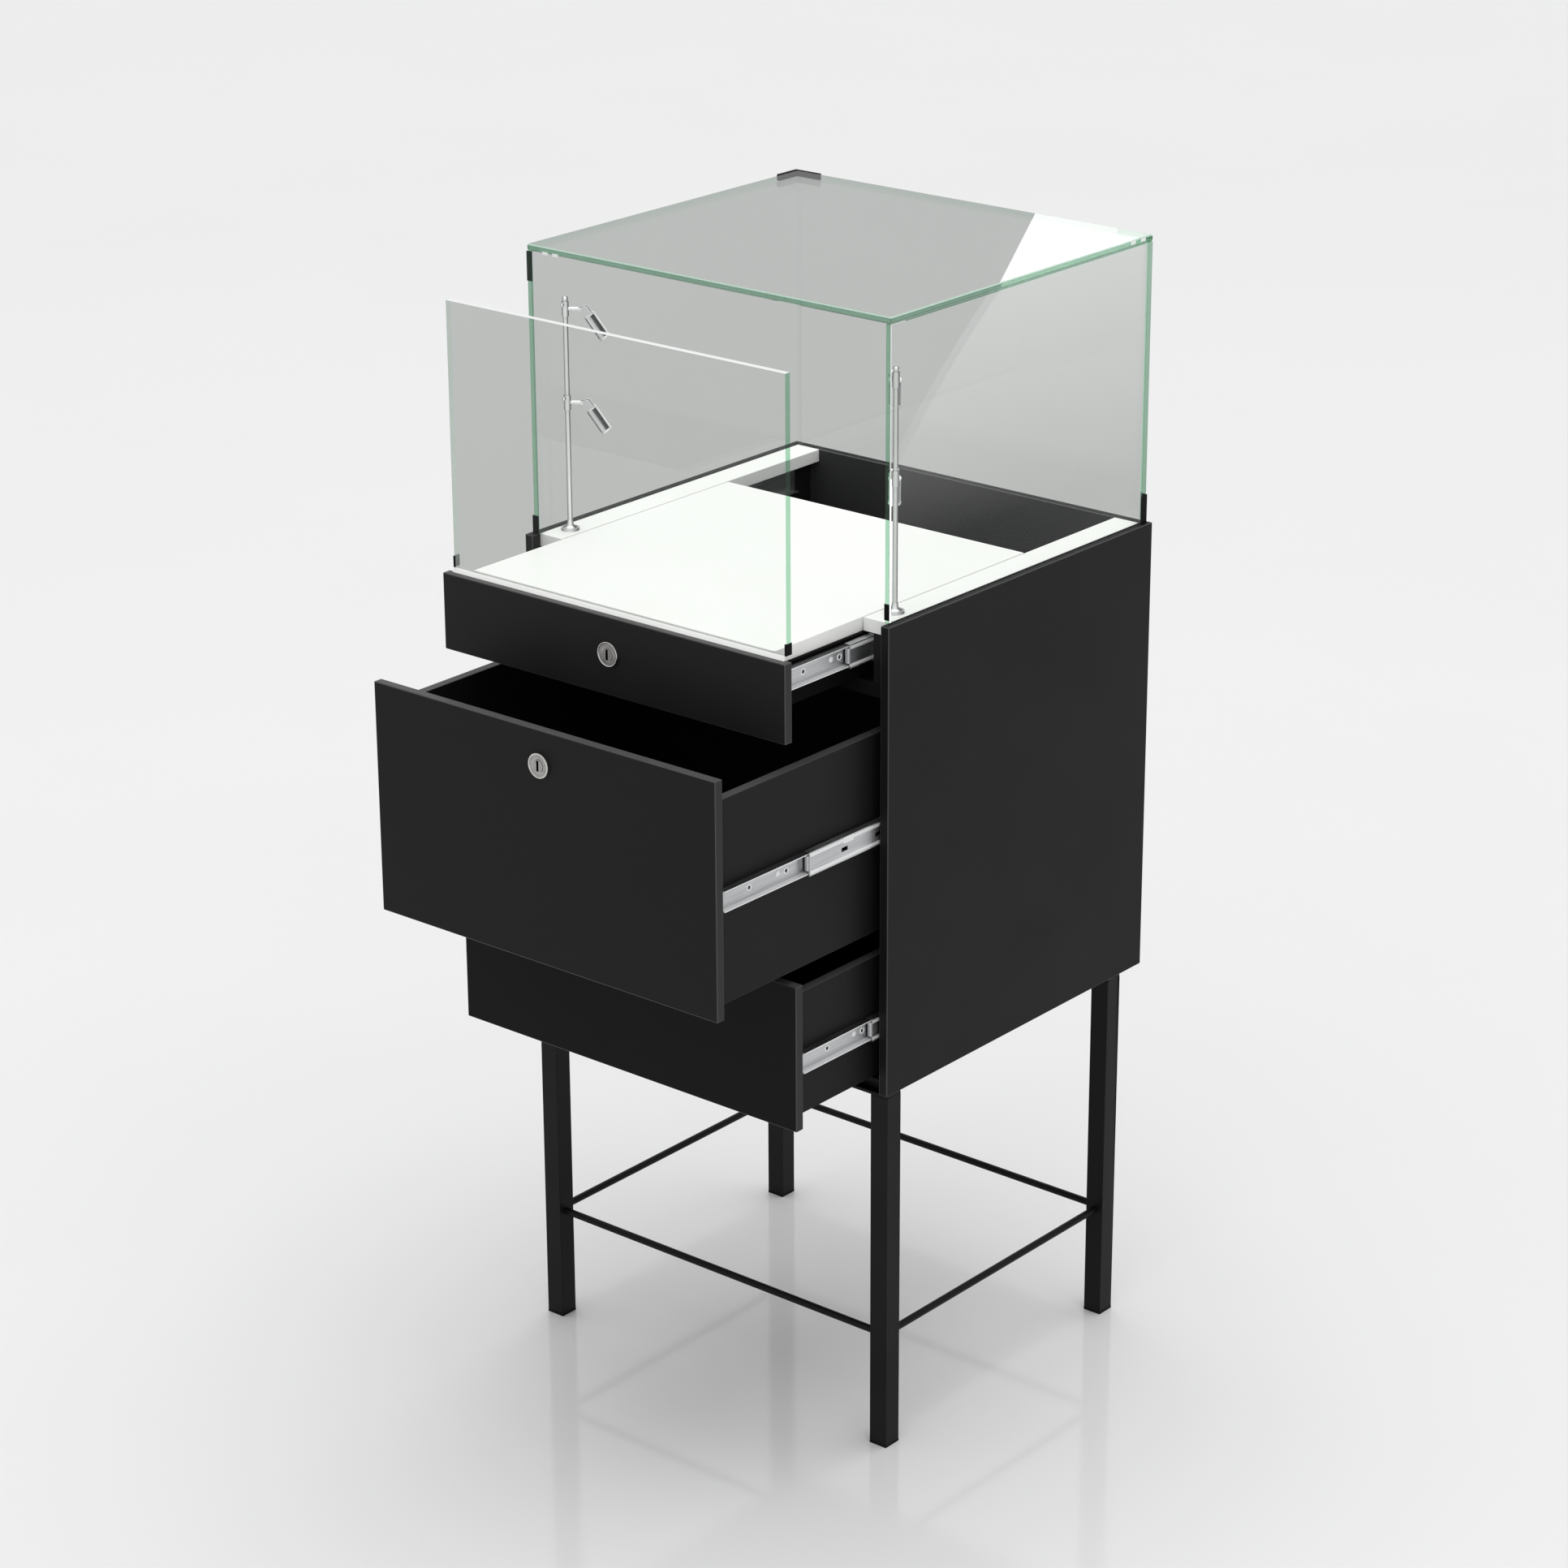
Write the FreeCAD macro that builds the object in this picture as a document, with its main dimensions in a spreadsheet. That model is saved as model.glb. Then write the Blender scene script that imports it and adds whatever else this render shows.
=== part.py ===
import FreeCAD, Part
import os

# Jewelry display case on four square legs, with a glass top box and three drawers.
# Units are millimetres. The front faces -Y, +X is the right hand side, +Z is up.
# The origin is the middle of the four feet on the floor. The drawers stand open as photographed.

doc = FreeCAD.newDocument("display_case")
sheet = doc.addObject("Spreadsheet::Sheet", "size")

SIZES = [
    ("case_width", 556),
    ("case_depth", 510),
    ("case_height", 578),
    ("leg_height", 468),
    ("panel", 12),
    ("divider", 18),
    ("divider_lift", 6),
    ("filler", 20),
    ("rail_width", 35),
    ("rail_height", 16),
    ("front_thickness", 12),
    ("front_clear", 1),
    ("front_side_gap", 6),
    ("front_gap", 3),
    ("front_lift", 2),
    ("tray_gap", 8),
    ("rim_gap", 4),
    ("middle_front_height", 286),
    ("top_front_height", 94),
    ("edge_round", 1.2),
    ("glass", 8),
    ("glass_height", 354),
    ("glass_side_inset", 6),
    ("glass_front_inset", 9),
    ("glass_rear_inset", 5),
    ("pane_top_gap", 25),
    ("pane_side_gap", 12),
    ("pane_lift", 1),
    ("pane_tongue", 9),
    ("rail_clear", 1),
    ("deck_gap", 2),
    ("deck_rear_gap", 21),
    ("slide_space", 12.7),
    ("slide_rear_gap", 33),
    ("slide_height", 32),
    ("slide_wall", 1.2),
    ("slide_clear", 0.5),
    ("slide_play", 0.8),
    ("slide_side_gap", 1.9),
    ("slide_setback", 35),
    ("slide_front_gap", 2),
    ("slide_hole", 4.6),
    ("slide_hole_first", 50),
    ("slide_hole_second", 114),
    ("slot_tall", 5),
    ("short_slot", 11),
    ("short_slot_start", 57),
    ("long_slot", 27),
    ("long_slot_start", 118),
    ("top_open", 160),
    ("middle_open", 279),
    ("bottom_open", 143),
    ("top_member_back", 38),
    ("middle_member_back", 1),
    ("bottom_member_back", 46.5),
    ("top_slide_drop", 2),
    ("middle_slide_lift", 5),
    ("bottom_slide_drop", 9),
    ("box_board", 12),
    ("box_floor", 8),
    ("floor_lift", 6),
    ("tray_lift", 6),
    ("middle_side_drop", 27),
    ("middle_side_lift", 15),
    ("bottom_side_drop", 13),
    ("bottom_side_lift", 16),
    ("leg_size", 25),
    ("leg_wall", 1.5),
    ("leg_side_inset", 1),
    ("leg_front_inset", 2.5),
    ("leg_rear_inset", 42.5),
    ("foot_height", 3),
    ("plate", 4),
    ("plate_size", 70),
    ("plate_inset", 8),
    ("screw_head", 9),
    ("screw_head_height", 3),
    ("stretcher_diameter", 9),
    ("stretcher_height", 146),
    ("lock_rose", 30),
    ("lock_rose_depth", 3),
    ("lock_barrel", 22),
    ("lock_length", 24),
    ("lock_nut", 29),
    ("lock_nut_depth", 5),
    ("lock_plug", 16),
    ("plug_clear", 0.05),
    ("plug_proud", 1),
    ("key_width", 3.4),
    ("key_tall", 13),
    ("key_depth", 5),
    ("cam_length", 24),
    ("cam_width", 12),
    ("cam_thickness", 2.5),
    ("cam_gap", 0.5),
    ("top_lock_drop", 5.5),
    ("middle_lock_drop", 42),
    ("pole_diameter", 6),
    ("pole_tip", 13),
    ("pole_front", 48),
    ("pole_base", 22),
    ("pole_base_height", 3),
    ("upper_arm_height", 272),
    ("lower_arm_height", 158),
    ("collar_diameter", 8.4),
    ("collar_height", 18),
    ("collar_clear", 0.05),
    ("arm_diameter", 4.4),
    ("arm_reach", 24),
    ("tongue_gap", 1),
    ("tongue_seat", 3),
    ("eye_diameter", 8),
    ("eye_thickness", 4),
    ("pin_diameter", 3),
    ("pin_clear", 0.05),
    ("cheek_gap", 0.4),
    ("cheek", 2),
    ("head_start", 7),
    ("head_diameter", 14),
    ("head_length", 34),
    ("head_wall", 2),
    ("lens_inset", 1.5),
    ("lens_thickness", 3),
    ("head_tilt", 56),
    ("right_head_drop", 19),
    ("left_arm_turn", 33),
    ("right_arm_turn", 50),
]
row = 0
for name, value in SIZES:
    row = row + 1
    sheet.set("A" + str(row), name)
    sheet.set("B" + str(row), str(value))
    sheet.setAlias("B" + str(row), name)
doc.recompute()

# Positions written as formulas over the sheet
FRONT = "(-(size.case_depth + size.leg_front_inset - size.leg_rear_inset) / 2)"
REAR = "(" + FRONT + " + size.case_depth)"
SETBACK = "(" + FRONT + " + size.front_thickness + size.front_clear)"
INNER_BACK = "(" + REAR + " - size.panel)"
INNER_DEPTH = "(" + INNER_BACK + " - " + SETBACK + ")"
BASE = "size.leg_height"
RIM = "(size.leg_height + size.case_height)"
TOP = "(" + RIM + " + size.glass_height)"
HALF = "(size.case_width / 2)"
INSIDE = "(size.case_width / 2 - size.panel)"
FRONT_HALF = "(" + INSIDE + " - size.front_side_gap)"
BOTTOM_Z = "(size.leg_height + size.front_lift)"
TOP_Z = "(" + RIM + " - size.rim_gap - size.top_front_height)"
MIDDLE_Z = "(" + TOP_Z + " - size.tray_gap - size.middle_front_height)"
BOTTOM_FRONT_HEIGHT = "(" + MIDDLE_Z + " - size.front_gap - " + BOTTOM_Z + ")"
DIVIDER_Z = "(" + TOP_Z + " + size.divider_lift)"
DIVIDER_TOP = "(" + DIVIDER_Z + " + size.divider)"
FILLER_X = "(" + INSIDE + " - size.filler)"
RAIL_X = "(" + INSIDE + " - size.rail_width)"
RAIL_Z = "(" + RIM + " - size.rail_height)"
DECK_HALF = "(" + RAIL_X + " - size.deck_gap)"
DECK_THICKNESS = "(size.rail_height + size.rail_clear)"
DECK_Z = "(" + RIM + " - " + DECK_THICKNESS + ")"
BOX_HALF = "(" + INSIDE + " - size.slide_space)"
TRAY_HALF = "(" + FILLER_X + " - size.slide_space)"
TOP_Y = "(" + FRONT + " - size.top_open)"
MIDDLE_Y = "(" + FRONT + " - size.middle_open)"
BOTTOM_Y = "(" + FRONT + " - size.bottom_open)"


def bind(item, values):
    for prop in values:
        item.setExpression(prop, values[prop])


def block(name, sizes, corner):
    item = doc.addObject("Part::Box", name)
    bind(item, {"Length": sizes[0], "Width": sizes[1], "Height": sizes[2]})
    bind(item, {"Placement.Base.x": corner[0], "Placement.Base.y": corner[1], "Placement.Base.z": corner[2]})
    return item


TURNS = {
    "z": FreeCAD.Rotation(),
    "y": FreeCAD.Rotation(FreeCAD.Vector(1, 0, 0), -90),
    "x": FreeCAD.Rotation(FreeCAD.Vector(0, 1, 0), 90),
}


def round_bar(name, diameter, length, start, axis):
    item = doc.addObject("Part::Cylinder", name)
    item.Placement = FreeCAD.Placement(FreeCAD.Vector(0, 0, 0), TURNS[axis])
    bind(item, {"Radius": "(" + diameter + ") / 2", "Height": length})
    bind(item, {"Placement.Base.x": start[0], "Placement.Base.y": start[1], "Placement.Base.z": start[2]})
    return item


def cut(name, base, tool):
    item = doc.addObject("Part::Cut", name)
    item.Base = base
    item.Tool = tool
    return item


def join(name, pieces):
    item = doc.addObject("Part::MultiFuse", name)
    item.Shapes = pieces
    item.Refine = True
    return item


def group(name, pieces):
    item = doc.addObject("Part::Compound", name)
    item.Links = pieces
    return item


def mirrored(name, source):
    item = doc.addObject("Part::Mirroring", name)
    item.Source = source
    item.Normal = FreeCAD.Vector(1, 0, 0)
    item.Base = FreeCAD.Vector(0, 0, 0)
    return item


def pair(name, right):
    left = mirrored(name + "_left", right)
    return group(name, [right, left])


def rounded(name, base, wanted):
    doc.recompute()
    radius = float(sheet.get("edge_round"))
    picked = []
    number = 0
    for edge in base.Shape.Edges:
        number = number + 1
        middle = edge.CenterOfMass
        if wanted(middle, base.Shape.BoundBox):
            picked.append((number, radius, radius))
    item = doc.addObject("Part::Fillet", name)
    item.Base = base
    item.Edges = picked
    return item


def every_edge(middle, box):
    return True


def front_edges(middle, box):
    return abs(middle.y - box.YMin) < 0.01


# Carcass boards
case_blank = block("right_side_blank", ["size.panel", "size.case_depth", "size.case_height"],
                   [INSIDE, FRONT, BASE])
right_side_panel = rounded("right_side_panel", case_blank, front_edges)
left_side_panel = mirrored("left_side_panel", right_side_panel)
back_panel = block("back_panel", ["2 * " + INSIDE, "size.panel", "size.case_height"],
                   ["-" + INSIDE, INNER_BACK, BASE])
bottom_panel = block("bottom_panel", ["2 * " + INSIDE, INNER_DEPTH, "size.panel"],
                     ["-" + INSIDE, SETBACK, BASE])
divider_panel = block("divider_panel", ["2 * " + INSIDE, INNER_DEPTH, "size.divider"],
                      ["-" + INSIDE, SETBACK, DIVIDER_Z])
filler = block("filler_right", ["size.filler", INNER_DEPTH, RAIL_Z + " - " + DIVIDER_TOP],
               [FILLER_X, SETBACK, DIVIDER_TOP])
fillers = pair("fillers", filler)
rail = block("rail_right", ["size.rail_width", INNER_DEPTH, "size.rail_height"], [RAIL_X, SETBACK, RAIL_Z])
rails = pair("rails", rail)

# Legs: square tube with a welded top plate that is set back from the case side, foot pads and plate screws
LEG_X = "(" + HALF + " - size.leg_side_inset - size.leg_size)"
LEG_FRONT_Y = "(" + FRONT + " + size.leg_front_inset)"
LEG_REAR_Y = "(" + REAR + " - size.leg_rear_inset - size.leg_size)"
TUBE_HEIGHT = "(size.leg_height - size.foot_height - size.plate)"
PLATE_Z = "(size.leg_height - size.plate)"
PLATE_X = "(" + HALF + " - size.leg_side_inset - size.plate_size)"


def leg(name, leg_y, plate_y):
    outside = block(name + "_tube", ["size.leg_size", "size.leg_size", TUBE_HEIGHT],
                    [LEG_X, leg_y, "size.foot_height"])
    bore = ["size.leg_size - 2 * size.leg_wall", "size.leg_size - 2 * size.leg_wall", TUBE_HEIGHT]
    hollow = block(name + "_hollow", bore,
                   [LEG_X + " + size.leg_wall", leg_y + " + size.leg_wall", "size.foot_height"])
    tube = cut(name + "_shell", outside, hollow)
    flange = block(name + "_flange", ["size.plate_size - size.plate_inset", "size.plate_size", "size.plate"],
                   [PLATE_X, plate_y, PLATE_Z])
    cover = block(name + "_cover", ["size.leg_size", "size.leg_size", "size.plate"], [LEG_X, leg_y, PLATE_Z])
    return group(name, [tube, join(name + "_plate", [flange, cover])])


PLATE_REAR_Y = "(" + REAR + " - size.leg_rear_inset - size.plate_size)"
leg_front_right = leg("leg_front_right", LEG_FRONT_Y, LEG_FRONT_Y)
leg_rear_right = leg("leg_rear_right", LEG_REAR_Y, PLATE_REAR_Y)
leg_front_left = mirrored("leg_front_left", leg_front_right)
leg_rear_left = mirrored("leg_rear_left", leg_rear_right)

PAD = ["size.leg_size", "size.leg_size", "size.foot_height"]
front_pad = block("front_pad", PAD, [LEG_X, LEG_FRONT_Y, "0"])
rear_pad = block("rear_pad", PAD, [LEG_X, LEG_REAR_Y, "0"])
front_pad_left = mirrored("front_pad_left", front_pad)
rear_pad_left = mirrored("rear_pad_left", rear_pad)
foot_pads = group("foot_pads", [front_pad, rear_pad, front_pad_left, rear_pad_left])

SCREW_Z = "(" + PLATE_Z + " - size.screw_head_height)"
SCREW_NEAR_X = "(" + PLATE_X + " + size.screw_head)"
SCREW_FAR_X = "(" + PLATE_X + " + size.plate_size - size.plate_inset - size.screw_head)"
SCREW_INNER_Y = "(" + LEG_FRONT_Y + " + size.plate_size - size.screw_head)"
SCREW_OUTER_Y = "(" + LEG_FRONT_Y + " + size.screw_head)"
REAR_INNER_Y = "(" + PLATE_REAR_Y + " + size.screw_head)"
REAR_OUTER_Y = "(" + PLATE_REAR_Y + " + size.plate_size - size.screw_head)"
screw_places = [
    (SCREW_NEAR_X, SCREW_INNER_Y),
    (SCREW_NEAR_X, SCREW_OUTER_Y),
    (SCREW_FAR_X, SCREW_INNER_Y),
    (SCREW_NEAR_X, REAR_INNER_Y),
    (SCREW_NEAR_X, REAR_OUTER_Y),
    (SCREW_FAR_X, REAR_INNER_Y),
]
screw_list = []
for place in screw_places:
    screw_name = "plate_screw_" + str(len(screw_list))
    screw = round_bar(screw_name, "size.screw_head", "size.screw_head_height",
                      [place[0], place[1], SCREW_Z], "z")
    screw_list.append(screw)
right_screws = list(screw_list)
for screw in right_screws:
    screw_list.append(mirrored(screw.Name + "_left", screw))
leg_screws = group("leg_screws", screw_list)

# Stretchers: round rods butted between the legs
ROD_X = "(" + LEG_X + " + size.leg_size / 2)"
ROD_FRONT_Y = "(" + LEG_FRONT_Y + " + size.leg_size / 2)"
ROD_REAR_Y = "(" + LEG_REAR_Y + " + size.leg_size / 2)"
CROSS_LENGTH = "2 * " + LEG_X
SIDE_LENGTH = "(" + LEG_REAR_Y + " - " + LEG_FRONT_Y + " - size.leg_size)"
rods = []
for place in [("stretcher_front", ROD_FRONT_Y), ("stretcher_rear", ROD_REAR_Y)]:
    start = ["-" + LEG_X, place[1], "size.stretcher_height"]
    rods.append(round_bar(place[0], "size.stretcher_diameter", CROSS_LENGTH, start, "x"))
side_rod = round_bar("stretcher_right", "size.stretcher_diameter", SIDE_LENGTH,
                     [ROD_X, LEG_FRONT_Y + " + size.leg_size", "size.stretcher_height"], "y")
rods.append(side_rod)
rods.append(mirrored("stretcher_left", side_rod))
stretchers = group("stretchers", rods)

# Fixed glass: two sides, back and top
GLASS_X = "(" + HALF + " - size.glass_side_inset - size.glass)"
GLASS_Y = "(" + FRONT + " + size.glass_front_inset)"
GLASS_DEPTH = "(size.case_depth - size.glass_front_inset - size.glass_rear_inset)"
WALL_HEIGHT = "(size.glass_height - size.glass)"
glass_right = block("glass_right", ["size.glass", GLASS_DEPTH, WALL_HEIGHT], [GLASS_X, GLASS_Y, RIM])
glass_left = mirrored("glass_left", glass_right)
glass_back = block("glass_back", ["2 * " + GLASS_X, "size.glass", WALL_HEIGHT],
                   ["-" + GLASS_X, REAR + " - size.glass_rear_inset - size.glass", RIM])
glass_top = block("glass_top", ["2 * (" + GLASS_X + " + size.glass)", GLASS_DEPTH, "size.glass"],
                  ["-(" + GLASS_X + " + size.glass)", GLASS_Y, TOP + " - size.glass"])

# Telescopic slides: a fixed member, a middle member and a drawer member on each side
SLIDE_START = "(" + SETBACK + " + size.slide_front_gap)"
SLIDE_LENGTH = "(" + INNER_DEPTH + " - size.slide_front_gap - size.slide_rear_gap)"
SLIDE_FLANGE = "(size.slide_space - size.slide_side_gap - 2 * size.slide_wall - size.slide_play)"


def channel(name, near_x, far_x, start_y, length, middle_z, tall, open_to_right):
    # a channel of sheet metal between two X positions, open towards one side
    wide = "(" + far_x + " - " + near_x + ")"
    base_z = "(" + middle_z + " - (" + tall + ") / 2)"
    solid = block(name + "_solid", [wide, length, tall], [near_x, start_y, base_z])
    if open_to_right:
        space_x = near_x + " + size.slide_wall"
    else:
        space_x = near_x + " - size.slide_wall"
    space = block(name + "_space", [wide, length, "(" + tall + ") - 2 * size.slide_wall"],
                  [space_x, start_y, base_z + " + size.slide_wall"])
    return cut(name, solid, space)


MIDDLE_TALL = "(size.slide_height - 2 * size.slide_wall - 2 * size.slide_clear)"
INNER_TALL = "(" + MIDDLE_TALL + " - 2 * size.slide_wall - 2 * size.slide_clear)"
fixed_members = []


def slides(name, wall_x, front_y, opened, member_back, middle_z):
    fixed_near = "(" + wall_x + " - size.slide_wall - " + SLIDE_FLANGE + ")"
    fixed = channel(name + "_fixed_right", fixed_near, wall_x, SLIDE_START, SLIDE_LENGTH,
                    middle_z, "size.slide_height", False)
    # the middle member, with two slots in its web
    middle_far = "(" + wall_x + " - size.slide_wall - size.slide_play)"
    middle_near = "(" + middle_far + " - size.slide_wall - " + SLIDE_FLANGE + ")"
    middle_y = "(" + SLIDE_START + " + " + member_back + " - " + opened + " / 2)"
    middle_plain = channel(name + "_middle_plain", middle_near, middle_far, middle_y,
                           "(" + SLIDE_LENGTH + " - size.slide_setback)", middle_z, MIDDLE_TALL, False)
    web_x = "(" + middle_far + " - size.slide_wall)"
    slot_z = "(" + middle_z + " - size.slot_tall / 2)"
    short_slot = block(name + "_short_slot", ["size.slide_wall", "size.short_slot", "size.slot_tall"],
                       [web_x, middle_y + " + size.short_slot_start", slot_z])
    long_slot = block(name + "_long_slot", ["size.slide_wall", "size.long_slot", "size.slot_tall"],
                      [web_x, middle_y + " + size.long_slot_start", slot_z])
    middle = cut(name + "_middle_right", middle_plain, group(name + "_slots", [short_slot, long_slot]))
    # the drawer member, with two screw holes in its web
    inner_near = "(" + wall_x + " - size.slide_space)"
    inner_far = "(" + middle_far + " - size.slide_wall - size.slide_play)"
    inner_y = "(" + front_y + " + size.front_thickness)"
    inner_plain = channel(name + "_inner_plain", inner_near, inner_far, inner_y, SLIDE_LENGTH,
                          middle_z, INNER_TALL, True)
    first_hole = round_bar(name + "_first_hole", "size.slide_hole", "size.slide_wall",
                           [inner_near, inner_y + " + size.slide_hole_first", middle_z], "x")
    second_hole = round_bar(name + "_second_hole", "size.slide_hole", "size.slide_wall",
                            [inner_near, inner_y + " + size.slide_hole_second", middle_z], "x")
    inner = cut(name + "_inner_right", inner_plain, group(name + "_holes", [first_hole, second_hole]))
    fixed_members.append(fixed)
    fixed_members.append(mirrored(name + "_fixed_left", fixed))
    return [pair(name + "_middle", middle), pair(name + "_inner", inner)]


# Side boards of the tray and the drawers, which carry the slides
TRAY_Z = "(" + DIVIDER_TOP + " + size.tray_lift)"
TRAY_TALL = "(" + DECK_Z + " - " + TRAY_Z + ")"
MIDDLE_SIDE_Z = "(" + MIDDLE_Z + " + size.middle_side_lift)"
MIDDLE_SIDE_TALL = "(size.middle_front_height - size.middle_side_lift - size.middle_side_drop)"
BOTTOM_SIDE_Z = "(" + BOTTOM_Z + " + size.bottom_side_lift)"
BOTTOM_SIDE_TALL = "(" + BOTTOM_FRONT_HEIGHT + " - size.bottom_side_lift - size.bottom_side_drop)"
TOP_SLIDE_Z = "(" + RAIL_Z + " - size.top_slide_drop - size.slide_height / 2)"
MIDDLE_SLIDE_Z = "(" + MIDDLE_SIDE_Z + " + " + MIDDLE_SIDE_TALL + " / 2 + size.middle_slide_lift)"
BOTTOM_SLIDE_Z = "(" + BOTTOM_SIDE_Z + " + " + BOTTOM_SIDE_TALL + " / 2 - size.bottom_slide_drop)"
top_slides = slides("top_slide", FILLER_X, TOP_Y, "size.top_open", "size.top_member_back", TOP_SLIDE_Z)
middle_slides = slides("middle_slide", INSIDE, MIDDLE_Y, "size.middle_open", "size.middle_member_back",
                       MIDDLE_SLIDE_Z)
bottom_slides = slides("bottom_slide", INSIDE, BOTTOM_Y, "size.bottom_open", "size.bottom_member_back",
                       BOTTOM_SLIDE_Z)
slide_fixed_members = group("slide_fixed_members", fixed_members)

# Drawer fronts with rounded edges, two of them bored for a lock
FRONT_WIDE = "2 * " + FRONT_HALF
TOP_LOCK_Z = "(" + TRAY_Z + " + " + TRAY_TALL + " / 2 - size.top_lock_drop)"
MIDDLE_LOCK_Z = "(" + MIDDLE_Z + " + size.middle_front_height - size.middle_lock_drop)"


def drawer_front(name, front_y, base_z, tall):
    return block(name + "_blank", [FRONT_WIDE, "size.front_thickness", tall],
                 ["-" + FRONT_HALF, front_y, base_z])


top_blank = drawer_front("top_front", TOP_Y, TOP_Z, "size.top_front_height")
top_rounded = rounded("top_front_rounded", top_blank, every_edge)
top_bore = round_bar("top_front_bore", "size.lock_barrel", "size.front_thickness",
                     ["0", TOP_Y, TOP_LOCK_Z], "y")
top_front = cut("top_front", top_rounded, top_bore)
middle_blank = drawer_front("middle_front", MIDDLE_Y, MIDDLE_Z, "size.middle_front_height")
middle_rounded = rounded("middle_front_rounded", middle_blank, every_edge)
middle_bore = round_bar("middle_front_bore", "size.lock_barrel", "size.front_thickness",
                        ["0", MIDDLE_Y, MIDDLE_LOCK_Z], "y")
middle_front = cut("middle_front", middle_rounded, middle_bore)
bottom_blank = drawer_front("bottom_front", BOTTOM_Y, BOTTOM_Z, BOTTOM_FRONT_HEIGHT)
bottom_front = rounded("bottom_front", bottom_blank, every_edge)


# Drawer boxes
def drawer_box(name, front_y, side_z, side_tall):
    start = "(" + front_y + " + size.front_thickness)"
    inside = "(" + BOX_HALF + " - size.box_board)"
    depth = "(" + SLIDE_LENGTH + " - size.box_board)"
    side = block(name + "_side_right", ["size.box_board", SLIDE_LENGTH, side_tall], [inside, start, side_z])
    sides = pair(name + "_sides", side)
    back = block(name + "_back", ["2 * " + inside, "size.box_board", side_tall],
                 ["-" + inside, start + " + " + depth, side_z])
    floor = block(name + "_floor", ["2 * " + inside, depth, "size.box_floor"],
                  ["-" + inside, start, side_z + " + size.floor_lift"])
    return [sides, back, floor]


middle_box = drawer_box("middle_box", MIDDLE_Y, MIDDLE_SIDE_Z, MIDDLE_SIDE_TALL)
bottom_box = drawer_box("bottom_box", BOTTOM_Y, BOTTOM_SIDE_Z, BOTTOM_SIDE_TALL)

# Display tray: white deck on a frame, with the front pane in a rebate of the deck
TRAY_START = "(" + TOP_Y + " + size.front_thickness)"
DECK_DEPTH = "(size.case_depth - size.panel - size.front_thickness - size.deck_rear_gap)"
TRAY_INSIDE = "(" + TRAY_HALF + " - size.box_board)"
deck_blank = block("deck_blank", ["2 * " + DECK_HALF, DECK_DEPTH, DECK_THICKNESS],
                   ["-" + DECK_HALF, TRAY_START, DECK_Z])
deck_rebate = block("deck_rebate", ["2 * " + DECK_HALF, "size.glass", "size.pane_tongue"],
                    ["-" + DECK_HALF, TRAY_START, RIM + " - size.pane_tongue"])
tray_deck = cut("tray_deck", deck_blank, deck_rebate)
tray_side = block("tray_side_right", ["size.box_board", SLIDE_LENGTH, TRAY_TALL],
                  [TRAY_INSIDE, TRAY_START, TRAY_Z])
tray_sides = pair("tray_sides", tray_side)
tray_rear = block("tray_rear", ["2 * " + TRAY_INSIDE, "size.box_board", TRAY_TALL],
                  ["-" + TRAY_INSIDE, TRAY_START + " + " + SLIDE_LENGTH + " - size.box_board", TRAY_Z])
PANE_HALF = "(" + GLASS_X + " - size.pane_side_gap)"
PANE_Z = "(" + RIM + " + size.pane_lift)"
PANE_TALL = "(" + TOP + " - size.glass - size.pane_top_gap - " + PANE_Z + ")"
pane_sheet = block("pane_sheet", ["2 * " + PANE_HALF, "size.glass", PANE_TALL],
                   ["-" + PANE_HALF, TRAY_START, PANE_Z])
pane_tongue = block("pane_tongue_piece",
                    ["2 * " + DECK_HALF, "size.glass", "size.pane_tongue + size.pane_lift"],
                    ["-" + DECK_HALF, TRAY_START, RIM + " - size.pane_tongue"])
glass_front = join("glass_front", [pane_sheet, pane_tongue])


# Locks: barrel with a round rose, nut behind the front, turning plug with a key slot, and its cam
def lock(name, front_y, middle_z):
    rose_y = "(" + front_y + " - size.lock_rose_depth)"
    rose = round_bar(name + "_rose", "size.lock_rose", "size.lock_rose_depth", ["0", rose_y, middle_z], "y")
    barrel = round_bar(name + "_tube", "size.lock_barrel", "size.lock_length", ["0", front_y, middle_z], "y")
    solid = join(name + "_solid", [rose, barrel])
    bore = round_bar(name + "_bore", "size.lock_plug + 2 * size.plug_clear",
                     "size.lock_length + size.lock_rose_depth", ["0", rose_y, middle_z], "y")
    barrel_body = cut(name + "_barrel", solid, bore)
    nut_y = "(" + front_y + " + size.front_thickness)"
    nut_start = ["0", nut_y, middle_z]
    nut_ring = round_bar(name + "_nut_ring", "size.lock_nut", "size.lock_nut_depth", nut_start, "y")
    nut_hole = round_bar(name + "_nut_hole", "size.lock_barrel", "size.lock_nut_depth", nut_start, "y")
    nut = cut(name + "_nut", nut_ring, nut_hole)
    plug_y = "(" + rose_y + " - size.plug_proud)"
    plug_length = "(size.plug_proud + size.lock_rose_depth + size.lock_length + size.cam_gap)"
    plug_bar = round_bar(name + "_plug_bar", "size.lock_plug", plug_length, ["0", plug_y, middle_z], "y")
    slot = block(name + "_key_slot", ["size.key_width", "size.key_depth", "size.key_tall"],
                 ["-size.key_width / 2", plug_y, middle_z + " - size.key_tall / 2"])
    plug = cut(name + "_plug", plug_bar, slot)
    cam_y = "(" + front_y + " + size.lock_length + size.cam_gap)"
    cam = block(name + "_cam", ["size.cam_length", "size.cam_thickness", "size.cam_width"],
                ["-size.cam_width / 2", cam_y, middle_z + " - size.cam_width / 2"])
    return [barrel_body, nut, plug, cam]


top_lock = lock("top_lock", TOP_Y, TOP_LOCK_Z)
middle_lock = lock("middle_lock", MIDDLE_Y, MIDDLE_LOCK_Z)

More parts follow.
